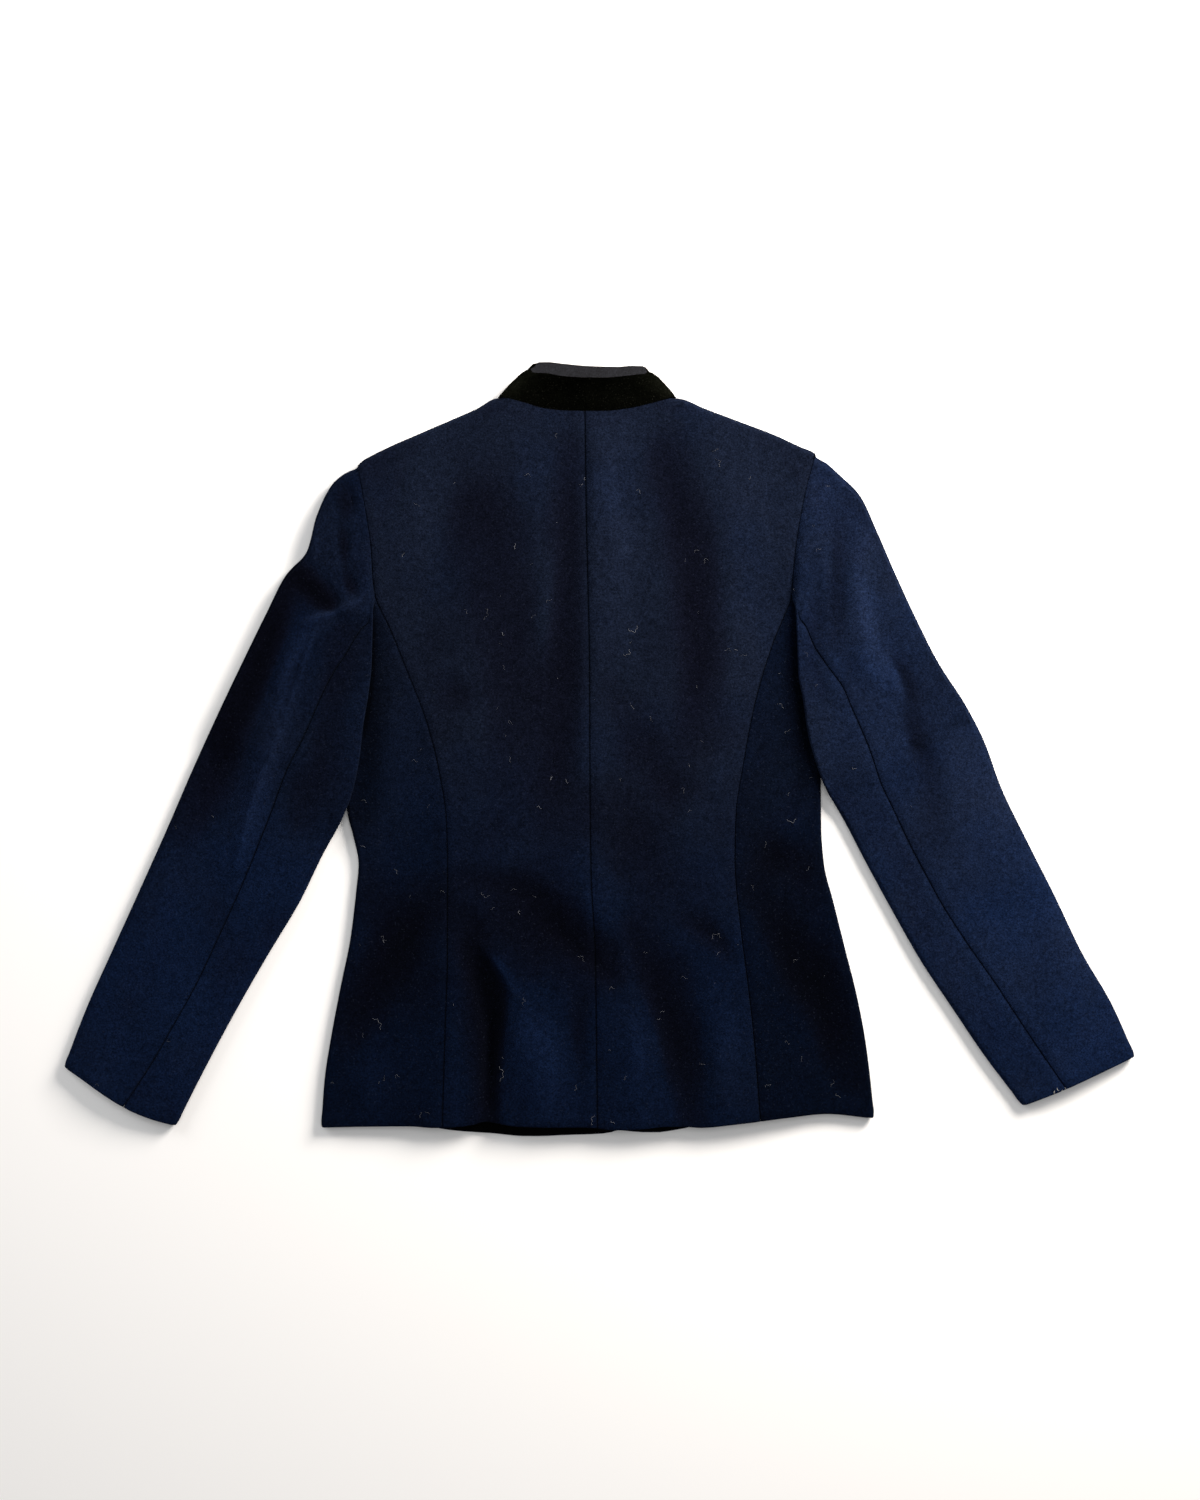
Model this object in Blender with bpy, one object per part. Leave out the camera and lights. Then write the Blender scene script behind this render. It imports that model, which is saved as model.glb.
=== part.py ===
"""A fitted wool jacket with a velvet stand collar, lying face down on a flat surface.

Units: the tables are in millimetres, and the meshes are made in metres. The jacket lies in the
XY plane with its collar toward +Y and its back facing +Z; the fronts lie on z = 0. "left" and
"right" are as seen from above. Each cut piece of cloth is one closed wall, WALL thick, made as a
grid of outer points and the same points moved inwards along the surface's normals.
"""

import math
from dataclasses import dataclass

import bpy
import numpy as np

MM = 0.001
WALL = 2.0  # shell cloth and lining
SEAM_GAP = 0.3  # between two pieces sewn together
VELVET_WALL = 1.6
FACING_WALL = 1.2  # the collar's smooth inner layer
STRIP_WALL = 1.0  # the dark facing at the fronts' hem
CENTRE_FRONT_X = 16.5
SHOULDER_ROLL = 6.0  # how deep the rounded fold is along the shoulder line
NECK_CORNER = 7.0  # over this width the shoulder's fold turns into the open neck edge
NECK_HEIGHT = 17.0
STRIP_DEPTH = 40.0
STRIP_SET_BACK = 0.8
STRIP_ENDS = (-156.0, 80.0)  # x where the facing strips stop, away from the centre front

SHOULDER_COLUMNS = 7
NECK_COLUMNS = 5
ARMHOLE_ROWS = 6
SEAM_ROWS = 17
SIDE_TOP_COLUMNS = 6
SIDE_FLOOR_COLUMNS = 5
SLEEVE_ROWS = 27
UPPER_FLOOR_COLUMNS = 5  # of the upper sleeve, on the floor
UPPER_TOP_COLUMNS = 8
UNDER_TOP_COLUMNS = 4
STRIP_COLUMNS = 9

# Where the points of each rounded fold lie, in degrees round it.
SHOULDER_ANGLES = (0, 35, 65, 90)
SIDE_ANGLES = (60, 20, -20, -60)
OUTER_FOLD_ANGLES = (-55, -18, 18, 55)
INNER_FOLD_ANGLES = (45, 0, -45)
COLLAR_ANGLES = (-60, -20, 20, 60)
SHARP_EDGE = 50  # degrees from which an edge isn't shaded round

# Height of the back above the floor: at the side edge, and at the crown away from it.
HEIGHTS = {
    "y": (-335, -250, -180, -100, -60, 60, 132, 178, 206, 261, 310),
    "edge": (8.5, 8.2, 8.0, 8.0, 8.0, 8.0, 8.4, 11.5, 13.5, 15.5, 16.5),
    "crown": (13.5, 14.0, 14.5, 15.0, 16.0, 18.0, 18.5, 18.5, 18.5, 18.0, 17.0),
}
RISE_START = 20.0  # the back starts to rise this far in from the side edge
RISE_WIDTH = 95.0

# Largest folds: a soft trough (height below 0) or ridge along a bend through three points.
FOLDS = (
    # x0, y0, x1, y1, x2, y2, width, height
    (54, 262, 97, 142, 80, 5, 15, -2.6),  # right shoulder blade
    (-28, 262, -25, 132, -40, -36, 11, -1.8),  # left of the centre seam
    (-134, 198, -96, 218, -61, 192, 17, -1.6),  # arc on the left blade
    (-152, -135, -190, -185, -214, -247, 15, -2.4),  # left side, below the waist
    (-116, -150, -86, -214, -96, -322, 11, -3.2),  # left back, below the waist
    (-75, -122, -21, -162, 13, -196, 12, -1.8),  # across the centre seam
    (30, -160, 66, -229, 77, -318, 13, -2.6),  # right back, below the waist
    (137, -130, 190, -206, 214, -286, 14, -2.6),  # right side, below the waist
    (-62, -225, -60, -273, -54, -322, 11, 2.0),  # ridge beside the deep trough
    (100, -220, 108, -273, 112, -320, 13, 1.8),  # ridge on the right hem
    (-290, 180, -248, 141, -228, 126, 11, -5.0),  # hollow under the left sleeve head
    (-212, 132, -264, 122, -281, 66, 9, 3.2),  # ridge below that hollow
    (-275, 50, -297, -27, -322, -104, 10, 2.6),  # its run down the sleeve
    (-282, 142, -300, 87, -330, 8, 9, -2.4),  # outer trough, left sleeve
    (232, 189, 222, 96, 256, 54, 12, 2.0),  # ridge on the right sleeve
    (262, 79, 274, 26, 306, -88, 10, -2.8),  # trough beside that ridge
    (214, 196, 207, 140, 206, 92, 9, -1.4),  # inner trough, right sleeve
)
FOLD_SAMPLES = 13
FOLD_END = 0.12  # each fold starts and ends this far into a half wave, so that its ends are weak


@dataclass(frozen=True)
class BodyHalf:
    """One half of the body: its seam and edge lines, each a tuple of (x, y) points."""

    name: str
    inward: int  # +1 where the centre lies toward +X
    top: tuple  # shoulder tip, neck corner, centre back
    neck_corner: int  # index of the neck corner in top
    back_seam: tuple  # armhole, then princess seam
    front_seam: tuple  # armhole, then the hidden front side seam
    side: tuple  # side fold from the underarm down
    armhole_end: float  # y where the armhole reaches the princess seam


CENTRE_BACK = (
    (-13, 297), (-12, 213), (-11, 166), (-9, 71), (-8.5, -44), (-7.5, -111), (-4, -179),
    (-3, -247), (-2, -333),
)
BACK_HEM = (
    (-246, -333), (-203, -332), (-156, -331.5), (-101, -330), (-48, -332), (16, -335), (59, -333),
    (116, -330.5), (168, -324.5), (204, -321.5), (243, -325),
)
FRONT_HEM = (
    (-246, -332), (-156, -332), (-129, -335), (-64, -341), (0, -339), (16.5, -336), (33, -338),
    (49, -337.5), (73, -334), (116, -330.5), (168, -324.5), (204, -321), (243, -324),
)
NECK = (
    (-89.5, 309.5), (-68, 305), (-49.5, 299.5), (-31, 297.5), (-13, 297), (5, 297), (24, 299),
    (42.5, 303), (59, 307.5), (67.5, 309.5),
)
LEFT = BodyHalf(
    name="left",
    inward=1,
    top=(
        (-213.5, 250.5), (-205.5, 256.5), (-185, 267), (-160.5, 277.5), (-136, 288), (-108.5, 300),
    ) + NECK[:5],
    neck_corner=6,
    back_seam=(
        (-213.5, 250.5), (-205.5, 206.5), (-201, 177.5), (-199, 148.5), (-196, 131.5),
        (-183.5, 104.5), (-171, 72.5), (-151, 20), (-140.5, -22.5), (-135, -60), (-134, -95),
        (-134, -179), (-136, -247), (-138.5, -335),
    ),
    front_seam=(
        (-213.5, 250.5), (-205.5, 206.5), (-201, 177.5), (-199, 148.5), (-196, 131.5), (-190, 90),
        (-186, 20), (-184, -60), (-184, -110), (-188, -200), (-194, -335),
    ),
    side=(
        (-219.5, 57), (-223, 8), (-224, -35), (-222.5, -57.5), (-218, -75), (-213, -102),
        (-215, -124), (-220, -166), (-228.5, -208), (-236.5, -250), (-243, -292), (-246, -335),
    ),
    armhole_end=131.5,
)
RIGHT = BodyHalf(
    name="right",
    inward=-1,
    top=((190.5, 261), (176.5, 267), (153.5, 277.5), (125.5, 288), (93.5, 300)) + NECK[:3:-1],
    neck_corner=5,
    back_seam=(
        (190.5, 261), (180, 220.5), (173, 177.5), (170.5, 148.5), (170, 137), (163, 118.5),
        (153.5, 95.5), (137, 41), (125.5, -18), (120, -55), (119, -95), (123.5, -152), (129, -196),
        (135, -247), (142, -335),
    ),
    front_seam=(
        (190.5, 261), (180, 220.5), (173, 177.5), (170.5, 148.5), (170, 137), (166, 90), (160, 20),
        (158, -60), (158, -110), (166, -200), (176, -335),
    ),
    side=(
        (194, 70), (196, 21), (195.5, -27), (196, -71), (198.5, -102), (206.5, -134), (217, -176),
        (227.5, -218), (235.5, -261), (240.5, -303), (243.5, -335),
    ),
    armhole_end=137.0,
)


@dataclass(frozen=True)
class Sleeve:
    """One sleeve: rows from the armhole to the cuff.

    Each row holds the outer fold (x, y), the inner fold (x, y), the point where the under side
    meets the floor beside the body (x, y), the elbow seam's share of the way from the outer to
    the inner fold, the height of the outer fold, and the crown above the two folds.
    """

    name: str
    body: BodyHalf
    first_clear_row: int  # from this row on, the inner fold is off the body
    rows: tuple


SLEEVES = (
    Sleeve(
        name="left",
        body=LEFT,
        first_clear_row=8,
        rows=(
            (-213.5, 250.5, -197.5, 130, -222.5, 58, 0.92, 15.5, 0.0),
            (-234.5, 235.5, -198.5, 104, -223.5, 43, 0.93, 12.5, 1.5),
            (-251, 205.5, -200, 75, -224.5, 30, 0.80, 10.5, 3.0),
            (-262, 172, -202, 48, -226, 13, 0.69, 9.5, 4.0),
            (-278.5, 151, -205.5, 21, -227, -5, 0.645, 9.0, 4.5),
            (-295, 119, -210, -6, -228, -22, 0.58, 8.5, 5.0),
            (-315.5, 77, -217, -36, -229, -44, 0.565, 8.5, 5.0),
            (-335.5, 35, -226, -60, -238, -58, 0.555, 8.5, 5.0),
            (-360.5, -20, -244, -92, 0, 0, 0.59, 8.5, 4.5),
            (-382.5, -71, -264.5, -134, 0, 0, 0.61, 8.5, 4.5),
            (-406, -123.5, -292, -180, 0, 0, 0.64, 8.5, 4.5),
            (-430, -176.5, -318, -225, 0, 0, 0.66, 8.5, 4.0),
            (-453.5, -229, -345, -275, 0, 0, 0.64, 8.5, 4.0),
            (-473, -280, -374, -332, 0, 0, 0.57, 8.5, 4.0),
        ),
    ),
    Sleeve(
        name="right",
        body=RIGHT,
        first_clear_row=8,
        rows=(
            (190.5, 261, 171, 135.5, 197, 71, 0.92, 15.5, 0.0),
            (211.5, 242.5, 173, 114, 198, 57, 0.935, 12.5, 1.5),
            (230, 224, 174, 89.5, 198.5, 43, 0.87, 10.5, 3.0),
            (245, 192.5, 175, 65.5, 199, 30, 0.78, 9.5, 4.0),
            (260, 158, 179, 43.5, 199.5, 17, 0.72, 9.0, 4.5),
            (276, 119, 183.5, 13, 200, -1, 0.65, 8.5, 5.0),
            (298, 77, 189.5, -9, 200.5, -14, 0.64, 8.5, 5.0),
            (321.5, 40, 197.5, -31, 209, -28, 0.665, 8.5, 5.0),
            (338.5, 8, 214.5, -60, 0, 0, 0.70, 8.5, 4.5),
            (355, -34, 236.5, -102, 0, 0, 0.70, 8.5, 4.5),
            (378, -81.5, 260, -145, 0, 0, 0.70, 8.5, 4.5),
            (401.5, -128, 284, -187, 0, 0, 0.68, 8.5, 4.5),
            (427, -181, 312, -229, 0, 0, 0.65, 8.5, 4.0),
            (451, -222, 339, -269, 0, 0, 0.645, 8.5, 4.0),
            (473, -270.5, 373.5, -314.5, 0, 0, 0.63, 8.5, 4.0),
        ),
    ),
)
SHELF = 9.3  # underside of the inner fold where it lies over the body's side panel
SHELF_TOP = 14.4
CLEAR_FOLD_TOP = 8.5
CORNER_HALF = 1.5  # half the width over which the under side drops to the floor
CLEAR_CORNER = 14.0  # the same place on the clear part of the sleeve, in from the fold
ARMHOLE_CORNER_SHARE = 0.2  # how much of that width is left at the armhole
ARMHOLE_STOP = 0.98  # at the armhole the upper sleeve's floor run stops short of the outer fold
ARMHOLE_OFFSET = 3 * SEAM_GAP  # between the sleeve's first row and the body
ARMHOLE_LIFT = SHELF_TOP - 8.4  # from the body's edge there up to the sleeve's inner fold
ARMHOLE_LIFT_START = 0.25  # share of the row where it starts to lift, and over how much of it
ARMHOLE_LIFT_RUN = 0.7
LEAST_HEIGHT = 2 * WALL + 0.8  # of a top sheet over the sheet below it
FOLD_FADE = 16.0  # the creases fade out this near to a sleeve's own two folds
DOME_POWER = 0.7  # below 1, the sleeve rises steeply from its folds and is flat between them
UNDERARM_REACH = (2.0, 0.5)  # how far out and up the armhole line starts from the underarm
UNDERARM_SET_IN = 4.0
EVEN_FROM = 0.25  # below this share of its length a side panel's columns are evenly spread

# The collar: fold points at its two ends, and the plan lines of its upper edge.
COLLAR_LOWER_ENDS = ((-89.5, 309.5), (67.5, 309.5))
COLLAR_UPPER_ENDS = ((-64, 336), (45.5, 333.5))
COLLAR_BACK_TOP = (
    (-64, 336), (-60, 333.5), (-49.5, 332), (-31, 328.5), (-13, 327), (2, 327), (18, 329),
    (30, 330.5), (42, 332), (45.5, 333.5),
)
COLLAR_FRONT_TOP = (
    (-64, 336), (-60, 339.5), (-52, 341), (-26, 338.5), (0, 336.5), (16.5, 336), (30.5, 337.5),
    (39, 337), (45.5, 333.5),
)
COLLAR_FOLD_DEPTH = 6.0
COLLAR_BULGE = 1.5
COLLAR_EDGE_HEIGHT = 19.0
COLLAR_RISE = 9.0  # the middle of its free edge stands this much higher
COLLAR_RISE_POWER = 0.8
COLLAR_BACK_COLUMNS = 14
COLLAR_FRONT_COLUMNS = 8
COLLAR_ROWS = 5

FINISHES = {
    # base colour (linear), roughness
    "wool": ((0.008, 0.012, 0.028), 0.9),
    "velvet": ((0.004, 0.004, 0.004), 0.95),
    "collar_facing": ((0.03, 0.033, 0.045), 0.8),
    "dark_facing": ((0.002, 0.002, 0.003), 0.8),
}


def blend(a, b, share):
    """The value this share of the way from a to b."""
    return a + (b - a) * share


def smoothstep(share):
    """0 to 1 with level ends, held outside them."""
    share = np.clip(share, 0.0, 1.0)
    return share * share * (3.0 - 2.0 * share)


def smooth(keys, values, where):
    """Cubic through (keys, values) that adds no overshoot, held past its ends; keys rise."""
    keys, values = np.asarray(keys, float), np.asarray(values, float)
    steps = np.diff(keys)
    slopes = np.diff(values) / steps
    tangents = np.zeros(len(keys))
    same_way = slopes[1:] * slopes[:-1] > 0
    inner = np.zeros(len(keys) - 2)
    inner[same_way] = 2.0 / (1.0 / slopes[1:][same_way] + 1.0 / slopes[:-1][same_way])
    tangents[1:-1] = inner
    tangents[0], tangents[-1] = slopes[0], slopes[-1]
    where = np.clip(where, keys[0], keys[-1])
    i = np.clip(np.searchsorted(keys, where, side="right") - 1, 0, len(keys) - 2)
    t = (where - keys[i]) / steps[i]
    return (
        (2 * t**3 - 3 * t**2 + 1) * values[i]
        + (t**3 - 2 * t**2 + t) * steps[i] * tangents[i]
        + (3 * t**2 - 2 * t**3) * values[i + 1]
        + (t**3 - t**2) * steps[i] * tangents[i + 1]
    )


def x_at(line, y):
    """x on a line of points, looked up by y."""
    points = sorted(line, key=lambda p: p[1])
    return smooth([p[1] for p in points], [p[0] for p in points], y)


def y_at(line, x):
    """y on a line of points, looked up by x."""
    points = sorted(line)
    return smooth([p[0] for p in points], [p[1] for p in points], x)


def fold_height(x, y):
    """What the largest folds add to a top surface at (x, y)."""
    total = np.zeros(np.broadcast(x, y).shape)
    for x0, y0, x1, y1, x2, y2, width, height in FOLDS:
        best = np.full(total.shape, np.inf)
        strength = np.zeros(total.shape)
        for t in np.linspace(0, 1, FOLD_SAMPLES):
            px = (1 - t) ** 2 * x0 + 2 * t * (1 - t) * x1 + t * t * x2
            py = (1 - t) ** 2 * y0 + 2 * t * (1 - t) * y1 + t * t * y2
            reach = ((x - px) ** 2 + (y - py) ** 2) / width**2
            nearer = reach < best
            best = np.where(nearer, reach, best)
            fading = math.sin(math.pi * blend(FOLD_END, 1 - FOLD_END, t))
            strength = np.where(nearer, fading, strength)
        total += height * strength * np.exp(-best)
    return total


def back_height(half, x, y):
    """Height of the back's and side panel's outer face above the floor."""
    edge_x = np.where(
        y > half.armhole_end,
        x_at(half.back_seam[:5], y),
        x_at((half.back_seam[4],) + half.side, y),
    )
    distance = (x - edge_x) * half.inward
    edge = smooth(HEIGHTS["y"], HEIGHTS["edge"], y)
    crown = smooth(HEIGHTS["y"], HEIGHTS["crown"], y)
    risen = smoothstep((distance - RISE_START) / RISE_WIDTH)
    folds = fold_height(x, y) * smoothstep(distance / RISE_START)
    return edge + (crown - edge) * risen + folds


def normals_of(points):
    """Unit normals of a grid of points, on the side of its columns crossed with its rows."""
    along = np.gradient(points, axis=1)
    down = np.gradient(points, axis=0)
    normals = np.cross(down, along)
    return normals / np.linalg.norm(normals, axis=2, keepdims=True)


def cloth(name, finish, outer, inner):
    """One closed wall between two grids of points, the outer face first."""
    rows, columns, _ = outer.shape
    count = rows * columns
    vertices = np.concatenate([outer.reshape(-1, 3), inner.reshape(-1, 3)]) * MM
    index = np.arange(count).reshape(rows, columns)
    faces = []
    for i in range(rows - 1):
        for j in range(columns - 1):
            a, b, c, d = index[i, j], index[i, j + 1], index[i + 1, j + 1], index[i + 1, j]
            faces.append((a, d, c, b))
            faces.append((a + count, b + count, c + count, d + count))
    rim = [*index[0, :], *index[1:, -1], *index[-1, -2::-1], *index[-2:0:-1, 0]]
    for a, b in zip(rim, rim[1:] + rim[:1]):
        faces.append((a, b, b + count, a + count))
    mesh = bpy.data.meshes.new(name)
    mesh.from_pydata(vertices.tolist(), [], [tuple(int(v) for v in face) for face in faces])
    mesh.validate()
    piece = bpy.data.objects.new(name, mesh)
    bpy.context.scene.collection.objects.link(piece)
    mesh.materials.append(material(name, finish))
    mesh.shade_smooth()
    mesh.set_sharp_from_angle(angle=math.radians(SHARP_EDGE))
    return piece


def material(name, finish):
    """A material of the piece's own, in one of the named finishes."""
    colour, roughness = FINISHES[finish]
    made = bpy.data.materials.new(f"{finish}_{name}")
    made.use_nodes = True
    shader = made.node_tree.nodes["Principled BSDF"]
    shader.inputs["Base Color"].default_value = (*colour, 1.0)
    shader.inputs["Roughness"].default_value = roughness
    shader.inputs["Metallic"].default_value = 0.0
    return made


def panel_columns(tip_x, corner_x, middle_x):
    """Column shares from the shoulder tip, past the neck corner, to the middle."""
    shoulder = np.linspace(0, 1, SHOULDER_COLUMNS + 1) * (corner_x - tip_x)
    neck = np.linspace(0, 1, NECK_COLUMNS + 1)[1:] * (middle_x - corner_x)
    return np.concatenate([shoulder, corner_x - tip_x + neck]) / (middle_x - tip_x)


def panel_rows(half, hem_y):
    """Row shares from below the shoulder, past the armhole's lower end, to the hem."""
    armhole = half.armhole_end - half.top[0][1] + SHOULDER_ROLL
    above = np.linspace(0, 1, ARMHOLE_ROWS + 1) * armhole
    below = np.linspace(0, 1, SEAM_ROWS + 1)[1:] * (hem_y - half.armhole_end)
    levels = np.concatenate([above, armhole + below])
    return levels / levels[-1]


def evened(shares, level):
    """Column shares that start as the shoulder's own and even out toward the hem."""
    even = np.linspace(0, 1, len(shares))
    return blend(shares, even, smoothstep(level * 1.2))


def upper_sheet(half, seam, hem, centre, is_back):
    """Outer points of a back or front panel, and how far each column's top is rolled shut.

    The rows run from the shoulder to the hem and the columns to the centre.
    """
    corner_x = half.top[half.neck_corner][0]
    tip_x, tip_y = half.top[0]
    middle_x = half.top[-1][0] if is_back else centre
    shares = panel_columns(tip_x, corner_x, middle_x)
    top_x = blend(tip_x, middle_x, shares)
    top_y = y_at(half.top if is_back else half.top[: half.neck_corner] + NECK, top_x)
    open_neck = smoothstep((top_x - corner_x) * half.inward / NECK_CORNER)
    rolled = 1.0 - open_neck
    height = back_height(half, top_x, top_y)
    rows = []
    for degrees in SHOULDER_ANGLES[:-1]:
        turn = math.radians(degrees)
        depth = rolled * (1 - math.cos(turn)) + open_neck * degrees / 90
        y = top_y - SHOULDER_ROLL * depth
        raised = 0.5 * rolled * (1 - math.sin(turn))
        z = height * (1 - raised) if is_back else height * raised
        if degrees == 0:
            z = z + rolled * SEAM_GAP / 2 * (1 if is_back else -1)
        x = top_x.copy()
        x[0] = x_at(seam, y[0])
        rows.append(np.stack([x, y, z], axis=1))
    hem_y = y_at(hem, seam[-1][0])
    for level in panel_rows(half, hem_y):
        edge_y = blend(tip_y - SHOULDER_ROLL, hem_y, level)
        middle_y = blend(top_y[-1] - SHOULDER_ROLL, y_at(hem, middle_x), level)
        middle = x_at(CENTRE_BACK, middle_y) if is_back else centre
        x = blend(x_at(seam, edge_y), middle, evened(shares, level))
        y = blend(top_y - SHOULDER_ROLL, y_at(hem, x), level)
        # the outer column keeps the seam's own line
        y[0] = edge_y
        z = back_height(half, x, y) if is_back else np.zeros(len(x))
        rows.append(np.stack([x, y, z], axis=1))
    return np.array(rows), rolled


def trim_columns(points, start, end, inward):
    """The grid with its first and last columns moved in by start and end, along x."""
    moved = points.copy()
    moved[:, 0, 0] += start * inward
    moved[:, -1, 0] -= end * inward
    return moved


def wall_of(points, facing, wall, set_in=0.0, level_edge=0.0):
    """Outer and inner grids of a wall whose outer face looks along facing times its normals.

    level_edge is how far the first row's wall is laid level, where two pieces meet along a fold.
    """
    normals = normals_of(points) * facing
    normals[0, :, 2] *= 1.0 - level_edge
    normals[0] /= np.linalg.norm(normals[0], axis=1, keepdims=True)
    return points - normals * set_in, points - normals * (set_in + wall)


def height_at(half, x, y):
    """The back's height at one place."""
    return float(back_height(half, np.array([x]), np.array([y]))[0])


def side_fold_point(half, degrees, level):
    """A point round a side panel's fold, this share of the way from the underarm to the hem."""
    y = blend(half.side[0][1], float(y_at(BACK_HEM, half.side[-1][0])), level)
    edge = float(x_at(half.side, y))
    radius = 0.5 * height_at(half, edge, y)
    turn = math.radians(degrees)
    return edge + half.inward * radius * (1 - math.cos(turn)), y, radius * (1 + math.sin(turn))


def side_flat_point(half, seam, share, level, on_top):
    """A point of a side panel's flat part: share 0 at the fold, 1 at the seam."""
    under_x, under_y = half.side[0]
    angle = math.radians(90 * (1 - share))
    top_y = half.armhole_end - (half.armhole_end - under_y) * math.sin(angle)
    hem_x = blend(half.side[-1][0], float(x_at(seam, BACK_HEM[0][1])), share)
    y = blend(top_y, float(y_at(BACK_HEM, hem_x)), level)
    radius = 0.5 * float(smooth(HEIGHTS["y"], HEIGHTS["edge"], y))
    start = float(x_at(half.side, y)) + half.inward * radius
    top_start = under_x + half.inward * radius
    top_x = top_start + (x_at(half.back_seam, half.armhole_end) - top_start) * math.cos(angle)
    top_share = (top_x - top_start) / (float(x_at(seam, top_y)) - top_start)
    along = blend(top_share, share, float(smoothstep(level / EVEN_FROM)))
    x = blend(start, float(x_at(seam, y)), along)
    return x, y, height_at(half, x, y) if on_top else 0.0


def side_sheet(half):
    """Outer points of a side panel.

    The columns run from the princess seam round the side's fold to the hidden front seam.
    """
    rows = []
    for level in np.linspace(0, 1, SEAM_ROWS + 1):
        row = [
            side_flat_point(half, half.back_seam, share, level, on_top=True)
            for share in np.linspace(1, 0, SIDE_TOP_COLUMNS)
        ]
        row += [side_fold_point(half, degrees, level) for degrees in SIDE_ANGLES]
        row += [
            side_flat_point(half, half.front_seam, share, level, on_top=False)
            for share in np.linspace(0, 1, SIDE_FLOOR_COLUMNS)
        ]
        rows.append(row)
    return np.array(rows)


def armhole_line(half):
    """The armhole as it lies on the floor, in plan: from the underarm to the shoulder tip."""
    under_x, under_y = half.side[0]
    out, up = UNDERARM_REACH
    start_x = under_x + half.inward * UNDERARM_SET_IN
    back_x = float(x_at(half.back_seam, half.armhole_end))
    points = [(under_x - half.inward * out, under_y + up)]
    for angle in np.radians(np.linspace(90, 0, 9)):
        points.append((
            start_x + (back_x - start_x) * math.cos(angle),
            half.armhole_end - (half.armhole_end - under_y) * math.sin(angle),
        ))
    for y in np.linspace(half.armhole_end, half.top[0][1], 9)[1:]:
        points.append((float(x_at(half.back_seam, y)), y))
    line = np.array(points)
    step = np.gradient(line, axis=0)
    step /= np.linalg.norm(step, axis=1, keepdims=True)
    outward = np.stack([-step[:, 1], step[:, 0]], axis=1) * half.inward
    return line + outward * ARMHOLE_OFFSET


def along_line(line, share):
    """The point at this share of a polyline's length."""
    lengths = np.concatenate([[0], np.cumsum(np.linalg.norm(np.diff(line, axis=0), axis=1))])
    where = share * lengths[-1]
    return np.interp(where, lengths, line[:, 0]), np.interp(where, lengths, line[:, 1])


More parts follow.
